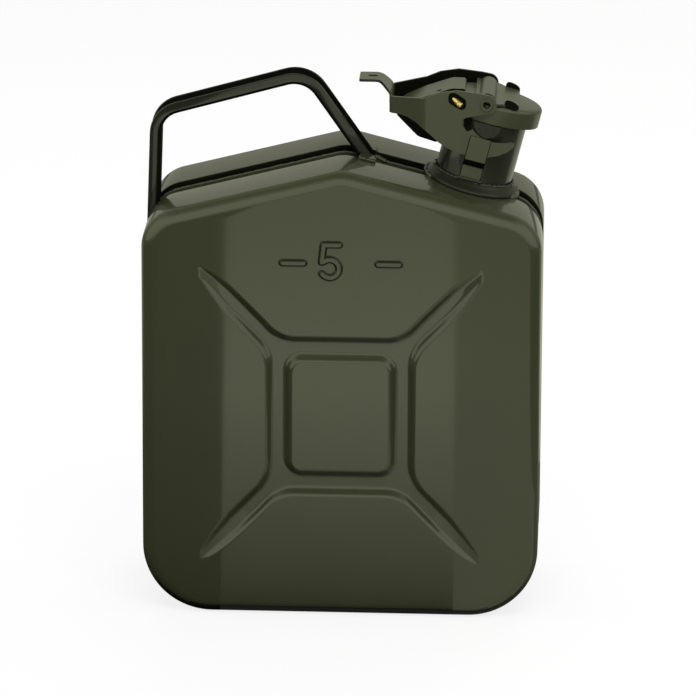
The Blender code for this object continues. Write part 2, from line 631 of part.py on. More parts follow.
def build_cap():
    """The cap with its gasket, retaining plate and rivet."""
    edge = CAP_EDGE_RADIUS
    rise = [(CAP_RADIUS - edge + edge * math.cos(a), CAP_TOP - edge + edge * math.sin(a))
            for a in (math.radians(d) for d in range(0, 91, 18))]
    inside = edge - CAP_SHEET
    fall = [(CAP_RADIUS - edge + inside * math.cos(a), CAP_TOP - edge + inside * math.sin(a))
            for a in (math.radians(d) for d in range(90, -1, -30))]
    foot = CAP_TOP - CAP_SKIRT
    hole = RIVET_RADIUS + GAP
    profile = ([(CAP_RADIUS, foot)] + rise + [(hole, CAP_TOP), (hole, CAP_TOP - CAP_SHEET)] + fall
               + [(CAP_RADIUS - CAP_SHEET, foot)])
    rings = []
    for turn in (math.radians(d) for d in range(0, 360, 8)):
        ahead = (CAP_REACH - CAP_RADIUS) * max(0.0, math.cos(turn))
        rings.append([(r * math.cos(turn) + (ahead if r > CAP_RADIUS / 2 else 0), r * math.sin(turn), h)
                      for r, h in profile])
    cup = loft("cap_cup", rings, loop=True, parent=CAP)
    paint(cup)
    smooth(cup)
    seat = NECK_HEIGHT + GAP
    rim = CAP_RADIUS - CAP_SHEET - GASKET_SIDE_GAP
    gasket = turned("cap_gasket", [(rim, seat), (rim, seat + GASKET_THICKNESS),
                                   (GASKET_BORE, seat + GASKET_THICKNESS), (GASKET_BORE, seat)], CAP)
    paint(gasket, RUBBER, 0.8)
    smooth(gasket)
    plate_top = seat - GAP
    plate = turned("gasket_plate", [(PLATE_RADIUS, plate_top - PLATE_SHEET), (PLATE_RADIUS, plate_top),
                                    (hole, plate_top), (hole, plate_top - PLATE_SHEET)], CAP)
    paint(plate, BARE_STEEL, 0.4, 1.0)
    smooth(plate)
    under = plate_top - PLATE_SHEET - GAP
    rivet = turned("gasket_rivet", [(0, under - RIVET_HEAD), (RIVET_HEAD_RADIUS * 0.7, under - RIVET_HEAD),
                                    (RIVET_HEAD_RADIUS, under), (RIVET_RADIUS, under),
                                    (RIVET_RADIUS, CAP_TOP - GAP), (0, CAP_TOP - GAP)], CAP, steps=24)
    paint(rivet, BARE_STEEL, 0.35, 1.0)
    smooth(rivet)
    return [cup, gasket, plate, rivet]


def build_saddle():
    """The saddle on the cap: a bridge plate, a rolled back, two pivot ears and two stop tabs."""
    base = CAP_TOP + GAP
    top = base + SADDLE_SHEET
    back = PIVOT_OFFSET - SADDLE_BACK
    front = PIVOT_OFFSET + SADDLE_FRONT
    tab_inner = STOP_TAB_SPACING / 2
    tab_outer = tab_inner + SADDLE_SHEET
    plan = [(back, -EAR_OUTER), (PIVOT_OFFSET + EAR_RADIUS, -EAR_OUTER), (front, -tab_outer),
            (front + STOP_TAB_WIDTH, -tab_outer), (front + STOP_TAB_WIDTH, tab_outer), (front, tab_outer),
            (PIVOT_OFFSET + EAR_RADIUS, EAR_OUTER), (back, EAR_OUTER)]
    saddle = prism("cap_saddle", fillet_path(plan, [2 * MM] * 8, closed=True, step=math.radians(30)),
                   base, top, "XY", CAP)
    half = SADDLE_ROLL_LENGTH / 2
    roll = cylinder("saddle_roll", SADDLE_ROLL_RADIUS, -half, half, "Y", (PIVOT_OFFSET, PIVOT_HEIGHT), CAP,
                    CUTTERS)
    combine(saddle, roll, "UNION")
    hollow = cylinder("saddle_hollow", SADDLE_ROLL_RADIUS - SADDLE_SHEET, -half - MM, half + MM, "Y",
                      (PIVOT_OFFSET, PIVOT_HEIGHT), CAP, CUTTERS)
    combine(saddle, hollow)
    for name, side in SIDES:
        low, high = sorted((side * EAR_INNER, side * EAR_OUTER))
        ear = [(PIVOT_OFFSET - EAR_RADIUS, top - 0.2 * MM), (PIVOT_OFFSET - EAR_RADIUS, PIVOT_HEIGHT)]
        ear += [(PIVOT_OFFSET + EAR_RADIUS * math.cos(a), PIVOT_HEIGHT + EAR_RADIUS * math.sin(a))
                for a in (math.radians(d) for d in range(195, 360, 15))]
        ear += [(PIVOT_OFFSET + EAR_RADIUS, PIVOT_HEIGHT), (PIVOT_OFFSET + EAR_RADIUS, top - 0.2 * MM)]
        combine(saddle, prism("saddle_ear_" + name, [Vector(p) for p in ear], low, high, parent=CAP,
                              group=CUTTERS), "UNION")
        low, high = sorted((side * tab_inner, side * tab_outer))
        crown = STOP_TAB_WIDTH * 0.2
        tab = [(front, base + 0.2 * MM), (front + STOP_TAB_WIDTH, base + 0.2 * MM)]
        tab += [(front + crown + (STOP_TAB_WIDTH - crown) * math.cos(a), top + STOP_TAB_HEIGHT * math.sin(a))
                for a in (math.radians(d) for d in range(0, 91, 15))]
        tab += [(front + crown * (1 - math.sin(a)), top + STOP_TAB_HEIGHT - crown * (1 - math.cos(a)))
                for a in (math.radians(d) for d in range(30, 91, 30))]
        combine(saddle, prism("saddle_tab_" + name, [Vector(p) for p in tab], low, high, parent=CAP,
                              group=CUTTERS), "UNION")
    under = box("saddle_under", (-THROUGH, -EAR_INNER, CAP_TOP - THROUGH), (THROUGH, EAR_INNER, base), CAP,
                CUTTERS)
    combine(saddle, under)
    bore = cylinder("saddle_bore", PIVOT_RADIUS + GAP, -THROUGH, -EAR_INNER + MM / 2, "Y",
                    (PIVOT_OFFSET, PIVOT_HEIGHT), CAP, CUTTERS, 24)
    combine(saddle, bore)
    bore = cylinder("saddle_bore_rear", PIVOT_RADIUS + GAP, EAR_INNER - MM / 2, THROUGH, "Y",
                    (PIVOT_OFFSET, PIVOT_HEIGHT), CAP, CUTTERS, 24)
    combine(saddle, bore)
    paint(saddle)
    smooth(saddle)
    return saddle


def pin_axis():
    """Outer end of the lock pin at rest and its unit direction inward, from the pivot."""
    outer = Vector((PIN_OUTER_X, -LEVER_OUTER + 0.3 * MM, PIN_OUTER_Z))
    inner = Vector((PIN_INNER_X, -ARM_HALF_WIDTH - 1.0 * MM, PIN_INNER_Z))
    return outer, inner, (inner - outer).normalized()


def slanted_cylinder(name, radius, start, along, low, high, parent, group=None, count=24):
    """A cylinder along a slanted line, from low to high past its start."""
    made = cylinder(name, radius, low, high, parent=parent, group=group, count=count)
    made.data.transform(along.to_track_quat("Z", "Y").to_matrix().to_4x4())
    made.data.transform(Matrix.Translation(start))
    return made


def from_cap(across, height):
    """A point of the cap's side view, seen from the lever's pivot."""
    reach = across - PIVOT_OFFSET
    rise = height - PIVOT_HEIGHT
    return Vector((reach * math.cos(ROOF_SLOPE) + rise * math.sin(ROOF_SLOPE),
                   rise * math.cos(ROOF_SLOPE) - reach * math.sin(ROOF_SLOPE)))


def build_arm():
    """The arm fixed to the cap: a folded channel that reaches back between the lever's sides."""
    seat = CAP_TOP + GAP
    behind = -CAP_RADIUS - ARM_RIM_CLEARANCE
    foot = from_cap(ARM_FOOT_REACH - CAP_RADIUS, seat)
    hump = [(foot.x / DRAWN, 6.4), (-21.4, 6.5), (-38.0, 0.9), (-50.0, -4.6), (-54.0, -8.2)]
    belly = [(-54.0, -10.4), (-41.4, -23.4), (-30.4, -26.9), (-28.2, -25.6)]

    corners = [foot] + [Vector((x, z)) * DRAWN for x, z in hump + belly] + [from_cap(behind, seat)]
    bends = [r * DRAWN for r in (0, 2, 6, 20, 6, 1, 1, 6, 2, 0, 0)]
    outline = fillet_path([tuple(p) for p in corners], bends, closed=True)
    arm = prism("cap_arm", outline, -ARM_HALF_WIDTH, ARM_HALF_WIDTH, parent=LEVER_FRAME)
    roof = [Vector((0, corners[2].y)), *corners[2:6], Vector((-THROUGH, -THROUGH))]
    inside = [(p.x, p.y - ARM_SHEET) for p in roof] + [(0, -THROUGH)]
    width = ARM_HALF_WIDTH - ARM_SHEET
    inner = [0, bends[2] - ARM_SHEET, bends[3], bends[4], 0, 0, 0]
    hollow = fillet_path(inside, inner, closed=True)
    combine(arm, prism("arm_hollow", hollow, -width, width, parent=LEVER_FRAME, group=CUTTERS))
    outer, _, along = pin_axis()
    combine(arm, slanted_cylinder("arm_pin_hole", PIN_RADIUS + 2 * GAP, outer, along, 0, ARM_HOLE_REACH,
                                  LEVER_FRAME, CUTTERS))
    paint(arm)
    smooth(arm)
    return arm


def build_pivots():
    """Two hollow rivets that hold the lever's sides to the saddle's ears."""
    built = []
    for name, side in SIDES:
        inner_end = EAR_INNER + 0.1 * MM
        head = LEVER_OUTER + GAP
        profile = [(PIVOT_BORE, inner_end), (PIVOT_RADIUS, inner_end), (PIVOT_RADIUS, head),
                   (PIVOT_HEAD_RADIUS, head), (PIVOT_HEAD_RADIUS - 0.4 * MM, head + PIVOT_HEAD),
                   (PIVOT_BORE + 0.4 * MM, head + PIVOT_HEAD), (PIVOT_BORE, head + PIVOT_HEAD / 2)]
        rivet = turned("pivot_rivet_" + name, profile, LEVER_FRAME, steps=24)
        rivet.rotation_euler = (-side * math.pi / 2, 0, 0)
        paint(rivet)
        smooth(rivet)
        built.append(rivet)
    return built


def lug_seen_from_lever(swing):
    """Where the lug's peg stands for the lever once it has turned by swing and lifted the cap."""
    lift = CAM_RISE_PER_RADIAN * swing
    across = -lift * math.sin(ROOF_SLOPE)
    down = -STUD_BELOW_PIVOT - lift * math.cos(ROOF_SLOPE)
    return Vector((across * math.cos(swing) - down * math.sin(swing),
                   across * math.sin(swing) + down * math.cos(swing)))


def cam_point(swing):
    """A point of the jaw's upper edge: it clears the peg by the same air at each angle of the lever."""
    small = math.radians(0.05)
    run = (lug_seen_from_lever(swing + small) - lug_seen_from_lever(swing - small)).normalized()
    return lug_seen_from_lever(swing) + Vector((run.y, -run.x)) * (STUD_RADIUS + CAM_CLEARANCE)


def lever_side_outline():
    """Side view of the lever from its pivot: grip end at the left, jaw at the lower right."""
    top = [(-70, 0.6), (-37.4, 3.5), (-29.2, 6.9), (-18.2, 8.6), (-4.1, 6.9)]
    notch = [(-12.4, -8.0), (-14.7, -9.6), (-14.4, -12.6), (-11.6, -16.6)]

    points = [Vector((x, z)) * DRAWN for x, z in top]
    points += [Vector((LEVER_EAR * math.cos(math.radians(d)), LEVER_EAR * math.sin(math.radians(d))))
               for d in range(84, -61, -16)]
    points += [Vector((x, z)) * DRAWN for x, z in notch]
    steps = 16
    points += [cam_point(CAM_START + (CAM_END - CAM_START) * i / steps) for i in range(steps + 1)]
    jaw = [(17.2, -23.4), (16.4, -26.0), (12.0, -29.3), (6.6, -31.4), (0.6, -32.3), (-8.0, -31.9),
           (-15.6, -30.2), (-23.6, -26.8), (-28.6, -23.4), (-34.3, -18.1), (-41.8, -12.2), (-47.6, -9.3),
           (-53.4, -8.4), (-70, -8.2)]
    points += [Vector((x, z)) * DRAWN for x, z in jaw]
    return points


def build_lever():
    """The clamping lever: a pressed U frame with cam jaws, a bent thumb tab and the pin window."""
    plan = [(THROUGH, LEVER_OUTER), (LEVER_SPREAD_X, LEVER_OUTER), (LEVER_END_X, LEVER_END_HALF_WIDTH),
            (LEVER_END_X, -LEVER_END_HALF_WIDTH), (LEVER_SPREAD_X, -LEVER_OUTER), (THROUGH, -LEVER_OUTER)]
    bends = [0, LEVER_SPREAD_BEND, LEVER_END_BEND, LEVER_END_BEND, LEVER_SPREAD_BEND, 0]
    lever = prism("clamp_lever", band(plan, bends, 0, LEVER_SHEET), -THROUGH, THROUGH, "XY", LEVER_FRAME)
    side = prism("lever_side", lever_side_outline(), -LEVER_OUTER - MM, LEVER_OUTER + MM, parent=LEVER_FRAME,
                 group=CUTTERS)
    combine(lever, side, "INTERSECT")
    tab_root = LEVER_END_X - 5.4 * MM
    strip = [(tab_root - LEVER_TAB_LENGTH, LEVER_TAB_TOP), (tab_root, LEVER_TAB_TOP),
             (LEVER_END_X + 1.5 * MM, 3.0 * MM), (LEVER_END_X + 1.5 * MM, -3.0 * MM)]
    tab = prism("lever_tab", band(strip, [0, 7 * MM, 4 * MM, 0], 0, -LEVER_SHEET), -LEVER_OUTER, LEVER_OUTER,
                parent=LEVER_FRAME, group=CUTTERS)
    half = LEVER_TAB_WIDTH / 2
    start = tab_root - LEVER_TAB_LENGTH - MM
    wide = LEVER_END_HALF_WIDTH - 2.2 * MM
    shape = [(start, -half), (tab_root, -half), (LEVER_END_X, -wide), (LEVER_END_X + 10 * MM, -wide),
             (LEVER_END_X + 10 * MM, wide), (LEVER_END_X, wide), (tab_root, half), (start, half)]
    outline = fillet_path(shape, [3 * MM, 6 * MM, 6 * MM, 0, 0, 6 * MM, 6 * MM, 3 * MM], closed=True)
    combine(tab, prism("lever_tab_plan", outline, -THROUGH, THROUGH, "XY", LEVER_FRAME, CUTTERS), "INTERSECT")
    slot_x = tab_root - LEVER_TAB_LENGTH + 8 * MM
    length = LEVER_SLOT_LENGTH / 2
    width = LEVER_SLOT_WIDTH / 2
    slot = [(slot_x - length, -width), (slot_x + length, -width), (slot_x + length, width),
            (slot_x - length, width)]
    combine(tab, prism("lever_slot", fillet_path(slot, [width - 0.05 * MM] * 4, closed=True),
                       0, THROUGH, "XY", LEVER_FRAME, CUTTERS))
    combine(lever, tab, "UNION")
    for name, sign in SIDES:
        low, high = sorted((sign * (LEVER_INNER - MM), sign * (LEVER_OUTER + MM)))
        combine(lever, cylinder("lever_bore_" + name, PIVOT_RADIUS + GAP, low, high, "Y", parent=LEVER_FRAME,
                                group=CUTTERS, count=24))
    length = LEVER_WINDOW_LENGTH / 2
    height = LEVER_WINDOW_HEIGHT / 2
    window = [(-length, -height * 0.2), (length * 0.3, -height), (length, -height), (length, height * 0.2),
              (-length * 0.2, height), (-length, height)]
    rounded = fillet_path(window, [2.5 * MM] * 6, closed=True, step=math.radians(22))
    placed = [p + Vector((LEVER_WINDOW_X, LEVER_WINDOW_Z)) for p in rounded]
    combine(lever, prism("lever_window", placed, -LEVER_OUTER - MM, -LEVER_INNER + MM, parent=LEVER_FRAME,
                         group=CUTTERS))
    paint(lever)
    smooth(lever)
    return lever


def build_lock():
    """The brass lock pin and the guide behind the lever's window."""
    outer, inner, along = pin_axis()
    length = (inner - outer).length
    lock = frame("lock_frame", outer, parent=LEVER_FRAME)
    lock.rotation_mode = "QUATERNION"
    lock.rotation_quaternion = along.to_track_quat("Z", "Y")
    nose = 0.7 * MM
    pin = turned("lock_pin", [(0, 0), (PIN_RADIUS - nose, 0), (PIN_RADIUS, nose), (PIN_RADIUS, length - nose),
                              (PIN_RADIUS - nose, length), (0, length)], lock, steps=24)
    paint(pin, BRASS, 0.25, 1.0)
    smooth(pin)
    face = -LEVER_INNER + GAP
    middle = outer + along * ((face - outer.y) / along.y)
    plate = box("pin_guide", (middle.x - GUIDE_WIDTH / 2, face, middle.z - GUIDE_HEIGHT / 2),
                (middle.x + GUIDE_WIDTH / 2, face + GUIDE_SHEET, middle.z + GUIDE_HEIGHT / 2), LEVER_FRAME)
    reach = (face - outer.y) / along.y
    boss = slanted_cylinder("guide_boss", GUIDE_BOSS_RADIUS, outer, along, reach + 0.9 * MM,
                            reach + GUIDE_SHEET + GUIDE_BOSS_LENGTH, LEVER_FRAME, CUTTERS)
    combine(plate, boss, "UNION")
    clear = box("guide_clear", (middle.x - THROUGH, face - THROUGH, middle.z - THROUGH),
                (middle.x + THROUGH, face, middle.z + THROUGH), LEVER_FRAME, CUTTERS)
    combine(plate, clear)
    combine(plate, slanted_cylinder("guide_bore", PIN_RADIUS + GAP, outer, along, -THROUGH, THROUGH,
                                    LEVER_FRAME, CUTTERS))
    paint(plate, DARK_STEEL, 0.5, 0.6)
    return pin, plate


clear_scene()
PARTS = new_collection("jerry_can")
CUTTERS = new_collection("cutters")
NECK = frame("neck_frame", NECK_BASE, ROOF_SLOPE)
CAP = frame("cap_frame", NECK_BASE, ROOF_SLOPE)
LEVER_FRAME = frame("lever_frame", PIVOT)
bpy.context.view_layer.update()

HOLE = cylinder("neck_hole", NECK_RADIUS + GAP, -THROUGH, THROUGH, parent=NECK, group=CUTTERS, count=48)
for SIDE_NAME, SIDE in SIDES:
    build_shell(SIDE_NAME + "_shell", SIDE, HOLE)
build_seam()
build_handle()
build_neck()
build_collar()
build_vent()
build_catches()
build_cap()
build_saddle()
build_arm()
build_pivots()
build_lever()
build_lock()
bpy.context.view_layer.update()
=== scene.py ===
"""Looks of a steel five litre jerry can in olive enamel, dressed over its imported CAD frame.

Each sub-assembly is a class that holds its sizes, builds its meshes and gives them their finish.
Metres, +Z up, the numbered front face toward -Y and the filler neck toward +X.
"""

from __future__ import annotations

import logging
import math
from collections.abc import Callable
from dataclasses import dataclass, field
from enum import Enum

import bmesh
import bpy
from mathutils import Matrix, Vector
from mathutils.geometry import delaunay_2d_cdt

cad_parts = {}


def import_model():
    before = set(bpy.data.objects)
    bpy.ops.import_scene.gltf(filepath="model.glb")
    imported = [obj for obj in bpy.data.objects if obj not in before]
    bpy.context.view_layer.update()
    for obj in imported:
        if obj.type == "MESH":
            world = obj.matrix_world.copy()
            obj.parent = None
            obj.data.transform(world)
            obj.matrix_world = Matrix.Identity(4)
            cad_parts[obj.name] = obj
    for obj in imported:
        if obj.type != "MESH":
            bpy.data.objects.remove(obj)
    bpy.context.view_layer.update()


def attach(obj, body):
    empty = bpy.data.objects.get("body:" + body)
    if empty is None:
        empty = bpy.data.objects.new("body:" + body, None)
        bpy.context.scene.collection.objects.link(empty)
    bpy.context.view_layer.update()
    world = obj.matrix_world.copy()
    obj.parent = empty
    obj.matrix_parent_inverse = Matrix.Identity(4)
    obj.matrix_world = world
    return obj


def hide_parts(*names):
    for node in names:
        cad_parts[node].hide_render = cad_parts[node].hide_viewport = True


MM = 0.001
SMOOTH_ANGLE = math.radians(35)
BEVEL_ANGLE = math.radians(32)
FLAT_ANGLE = math.radians(1.5)
SMALLEST_TURN = 1e-6
SMALLEST_RADIUS = 1e-6
CAD_MERGE = 2e-6
FINE_MERGE = 1e-7
FILLED_INSIDE = 2
LOG = logging.getLogger("jerry_can")


class Body(Enum):
    """The CAD bodies that a piece can ride on."""

    CAN = "can"
    CAP = "cap"
    LEVER = "lever"
    PIN = "pin"


class Side(Enum):
    """The two halves of the can: the value is the sign of Y."""

    FRONT = -1.0
    REAR = 1.0


class Slot(Enum):
    """The material slots."""

    PAINT = "olive_paint"
    DARK = "dark_steel"
    BARE = "bare_steel"
    RUBBER = "gasket_rubber"
    BRASS = "pin_brass"


# Flat drawing helpers


def fillet_path(points: list, radii: list, offset: float = 0.0, closed: bool = False,
                step: float = math.radians(6)) -> list[Vector]:
    """Moves a flat path to its left and rounds its corners.

    Args:
        points: Corners of the path.
        radii: Radius at each corner.
        offset: How far to the left the path moves.
        closed: Whether the last corner joins the first.
        step: Largest turn between two points of a rounding.

    Returns:
        The points of the rounded path.
    """
    count = len(points)
    pts = [Vector(p) for p in points]
    moved = []
    for i in range(count if closed else count - 1):
        along = (pts[(i + 1) % count] - pts[i]).normalized()
        left = Vector((-along.y, along.x)) * offset
        moved.append((pts[i] + left, pts[(i + 1) % count] + left, along))
    result = []
    for i in range(count):
        if not closed and i in (0, count - 1):
            result.append(moved[0][0] if i == 0 else moved[-1][1])
            continue
        _, end, into = moved[i - 1]
        start, _, out = moved[i]
        turn = into.x * out.y - into.y * out.x
        if abs(turn) < SMALLEST_TURN:
            result.append(start)
            continue
        ahead = ((start - end).x * out.y - (start - end).y * out.x) / turn
        corner = end + into * ahead
        angle = math.atan2(turn, into.dot(out))
        radius = radii[i] - offset * math.copysign(1.0, angle)
        if radius < SMALLEST_RADIUS:
            result.append(corner)
            continue
        reach = radius * math.tan(abs(angle) / 2)
        centre = corner - into * reach + Vector((-into.y, into.x)) * math.copysign(radius, angle)
        arm = corner - into * reach - centre
        pieces = max(1, round(abs(angle) / step))
        for j in range(pieces + 1):
            swing = angle * j / pieces
            result.append(centre + Vector((arm.x * math.cos(swing) - arm.y * math.sin(swing),
                                           arm.x * math.sin(swing) + arm.y * math.cos(swing))))
    return result


def smoothstep(value: float) -> float:
    """An even S curve from 0 to 1."""
    held = min(1.0, max(0.0, value))
    return held * held * (3 - 2 * held)


def pressed_wall(value: float, rounding: float = 0.25) -> float:
    """Ramp from 0 to 1 like a pressed wall: straight, with rounded ends.

    Args:
        value: Place across the wall, 0 at its foot and 1 at its head.
        rounding: Share of the wall that each rounded end takes.

    Returns:
        The height of the wall at that place.
    """
    value = min(max(value, 0.0), 1.0)
    if value > 0.5:
        return 1 - pressed_wall(1 - value, rounding)
    bent = value ** 2 / (2 * rounding) if value < rounding else value - rounding / 2
    return bent / (1 - rounding)


def interpolate(table: tuple, value: float) -> float:
    """Reads a table of (place, value) pairs with straight lines between them.

    Args:
        table: The pairs in rising order of place.
        value: The place to read at.

    Returns:
        The value there, held at the table's ends.
    """
    if value <= table[0][0]:
        return table[0][1]
    for (low, first), (high, second) in zip(table, table[1:]):
        if value <= high:
            return first + (second - first) * (value - low) / (high - low)
    return table[-1][1]


def blended_union(first: float, second: float, radius: float) -> float:
    """Joins two signed distances with a fillet in the corner between them."""
    share = min(1.0, max(0.0, 0.5 + 0.5 * (second - first) / radius))
    return second + (first - second) * share - radius * share * (1 - share)


def rounded_box_distance(x: float, z: float, half_x: float, half_z: float, radius: float) -> float:
    """Distance to the edge of a rounded rectangle round the origin.

    Args:
        x: Place across.
        z: Place up.
        half_x: Half width of the rectangle.
        half_z: Half height of the rectangle.
        radius: Radius of its corners.

    Returns:
        The distance, negative inside.
    """
    out_x = abs(x) - half_x + radius
    out_z = abs(z) - half_z + radius
    outside = math.hypot(max(out_x, 0.0), max(out_z, 0.0))
    return outside + min(max(out_x, out_z), 0.0) - radius


def segment_distance(x: float, z: float, start: tuple, end: tuple) -> float:
    """Distance from a point to a straight stroke.

    Args:
        x: Place across.
        z: Place up.
        start: One end of the stroke.
        end: Its other end.

    Returns:
        The distance to the nearest point of the stroke.
    """
    run_x, run_z = end[0] - start[0], end[1] - start[1]
    length = run_x * run_x + run_z * run_z
    share = ((x - start[0]) * run_x + (z - start[1]) * run_z) / length if length else 0.0
    share = min(1.0, max(0.0, share))
    return math.hypot(x - start[0] - share * run_x, z - start[1] - share * run_z)


# Mesh helpers


def new_object(name: str, mesh: bpy.types.Mesh) -> bpy.types.Object:
    """Links a mesh into the scene as an object at the origin.

    Args:
        name: Name of the object.
        mesh: Its mesh.

    Returns:
        The new object.
    """
    made = bpy.data.objects.new(name, mesh)
    bpy.context.scene.collection.objects.link(made)
    return made


def mesh_object(name: str, vertices: list, faces: list) -> bpy.types.Object:
    """Makes an object from lists of points and faces.

    Args:
        name: Name of the object.
        vertices: Its points.
        faces: Its faces, each a tuple of point numbers.

    Returns:
        The new object.
    """
    mesh = bpy.data.meshes.new(name)
    mesh.from_pydata([tuple(v) for v in vertices], [], faces)
    mesh.update()
    return new_object(name, mesh)


def bmesh_object(name: str, bm: bmesh.types.BMesh) -> bpy.types.Object:
    """Turns a finished bmesh into an object and frees it.

    Args:
        name: Name of the object.
        bm: The finished bmesh.

    Returns:
        The new object.
    """
    mesh = bpy.data.meshes.new(name)
    bm.to_mesh(mesh)
    bm.free()
    return new_object(name, mesh)


def loft(name: str, rings: list, caps: tuple[bool, bool] = (False, False), loop: bool = False) -> bpy.types.Object:
    """Skins a row of rings that have the same number of points.

    Args:
        name: Name of the object.
        rings: The rings, each a list of points.
        caps: Whether the first and the last ring are closed by a face.
        loop: Whether the last ring joins the first.

    Returns:
        The new object.
    """
    bm = bmesh.new()
    rows = [[bm.verts.new(p) for p in ring] for ring in rings]
    pairs = list(zip(rows, rows[1:]))
    if loop:
        pairs.append((rows[-1], rows[0]))
    for near, far in pairs:
        for i in range(len(near)):
            bm.faces.new((near[i - 1], near[i], far[i], far[i - 1]))
    if caps[0]:
        bm.faces.new(rows[0])
    if caps[1]:
        bm.faces.new(rows[-1])
    bmesh.ops.recalc_face_normals(bm, faces=bm.faces)
    return bmesh_object(name, bm)


def prism(name: str, outline: list, low: float, high: float, plane: str = "XZ") -> bpy.types.Object:
    """Extrudes a flat outline: XZ along Y, XY along Z.

    Args:
        name: Name of the object.
        outline: Points of the outline.
        low: Where the prism starts along its axis.
        high: Where it ends.
        plane: The plane of the outline.

    Returns:
        The new object.
    """
    lift = {"XZ": lambda a, b, c: (a, c, b), "XY": lambda a, b, c: (a, b, c)}[plane]
    rings = [[lift(p.x, p.y, level) for p in outline] for level in (low, high)]
    return loft(name, rings, caps=(True, True))


def turned_rings(profile: list, steps: int) -> list:
    """The rings of a turned solid round Z.

    Args:
        profile: Closed profile of (radius, height) points.
        steps: Number of rings.

    Returns:
        The rings, each a list of points.
    """
    turns = [2 * math.pi * i / steps for i in range(steps)]
    return [[(r * math.cos(turn), r * math.sin(turn), h) for r, h in profile] for turn in turns]


def turned(name: str, profile: list, steps: int = 96) -> bpy.types.Object:
    """A turned solid round Z.

    Args:
        name: Name of the object.
        profile: Closed profile of (radius, height) points.
        steps: Number of steps round the axis.

    Returns:
        The new object.
    """
    made = loft(name, turned_rings(profile, steps), loop=True)
    tidy_mesh(made, FINE_MERGE)
    return made


def tidy_mesh(obj: bpy.types.Object, merge: float) -> None:
    """Merges doubled points, drops faces without area and turns the faces outward.

    Args:
        obj: The piece.
        merge: Points closer than this become one.
    """
    bm = bmesh.new()
    bm.from_mesh(obj.data)
    bmesh.ops.remove_doubles(bm, verts=bm.verts, dist=merge)
    bmesh.ops.dissolve_degenerate(bm, edges=bm.edges, dist=merge)
    bmesh.ops.recalc_face_normals(bm, faces=bm.faces)
    bm.to_mesh(obj.data)
    bm.free()


def boolean(obj: bpy.types.Object, tool: bpy.types.Object, operation: str = "DIFFERENCE") -> None:
    """Adds an exact Boolean with a tool that is removed once the piece is baked.

    Args:
        obj: The piece.
        tool: The other solid.
        operation: What the Boolean does.
    """
    made = obj.modifiers.new(operation.lower(), "BOOLEAN")
    made.operation = operation
    made.object = tool
    made.solver = "EXACT"


def bevel(obj: bpy.types.Object, width: float) -> None:
    """Rounds the sharp edges of a piece.

    Args:
        obj: The piece.
        width: Width of the rounded edge.
    """
    made = obj.modifiers.new("edge", "BEVEL")
    made.width = width
    made.segments = 2
    made.limit_method = "ANGLE"
    made.angle_limit = BEVEL_ANGLE
    made.miter_outer = "MITER_ARC"
    made.harden_normals = False


def apply_modifiers(obj: bpy.types.Object) -> None:
    """Replaces a piece's mesh by what its modifiers make of it.

    Args:
        obj: The piece.
    """
    graph = bpy.context.evaluated_depsgraph_get()
    mesh = bpy.data.meshes.new_from_object(obj.evaluated_get(graph))
    obj.modifiers.clear()
    obj.data = mesh
    mesh.name = obj.name


def shade(obj: bpy.types.Object, angle: float = SMOOTH_ANGLE) -> None:
    """Smooth shading with sharp edges where the surface turns by more than the angle."""
    obj.data.shade_smooth()
    obj.data.set_sharp_from_angle(angle=angle)


def bake(obj: bpy.types.Object, tools: tuple = (), smooth: float = SMOOTH_ANGLE) -> bpy.types.Object:
    """Applies the modifiers to the mesh and removes the tools.

    Args:
        obj: The piece.
        tools: Objects that its modifiers used.
        smooth: Edges sharper than this stay sharp in the shading.

    Returns:
        The same piece with a plain mesh.
    """
    apply_modifiers(obj)
    for tool in tools:
        bpy.data.objects.remove(tool, do_unlink=True)
    shade(obj, smooth)
    return obj


def refined_copy(node: str, name: str, edge: float) -> bpy.types.Object:
    """A finer piece from a CAD node: merged, with its flat faces whole and its edges rounded.

    The large faces set the shading, so that they look flat beside their rounded edges.

    Args:
        node: Name of the CAD node.
        name: Name of the new piece.
        edge: Width of the rounded edge, 0 for none.

    Returns:
        The new piece.
    """
    bm = bmesh.new()
    bm.from_mesh(bpy.data.objects[node].data)
    bmesh.ops.remove_doubles(bm, verts=bm.verts, dist=CAD_MERGE)
    bmesh.ops.dissolve_limit(bm, angle_limit=FLAT_ANGLE, verts=bm.verts, edges=bm.edges)
    made = bmesh_object(name, bm)
    if edge > 0:
        bevel(made, edge)
    bake(made)
    if edge > 0:
        made.modifiers.new("weights", "WEIGHTED_NORMAL").keep_sharp = True
        apply_modifiers(made)
    return made


# Shader groups and finishes


def group_socket(tree: bpy.types.NodeTree, name: str, kind: str, default: float | None = None,
                 output: bool = False) -> None:
    """Adds a named socket to a node group.

    Args:
        tree: The group.
        name: Name of the socket.
        kind: Its socket type.
        default: Its value where nothing is linked.
        output: Whether it is an output.
    """
    made = tree.interface.new_socket(name=name, in_out="OUTPUT" if output else "INPUT", socket_type=kind)
    if default is not None:
        made.default_value = default


def link_pairs(tree: bpy.types.NodeTree, *pairs: tuple) -> None:
    """Links pairs of sockets."""
    for start, end in pairs:
        tree.links.new(start, end)


def feed(tree: bpy.types.NodeTree, socket: bpy.types.NodeSocket, value: float | bpy.types.NodeSocket) -> None:
    """Sets an input to a number, or links it to a socket.

    Args:
        tree: The node tree.
        socket: The input.
        value: The number or the socket that feeds it.
    """
    if isinstance(value, (int, float)):
        socket.default_value = value
    else:
        tree.links.new(value, socket)


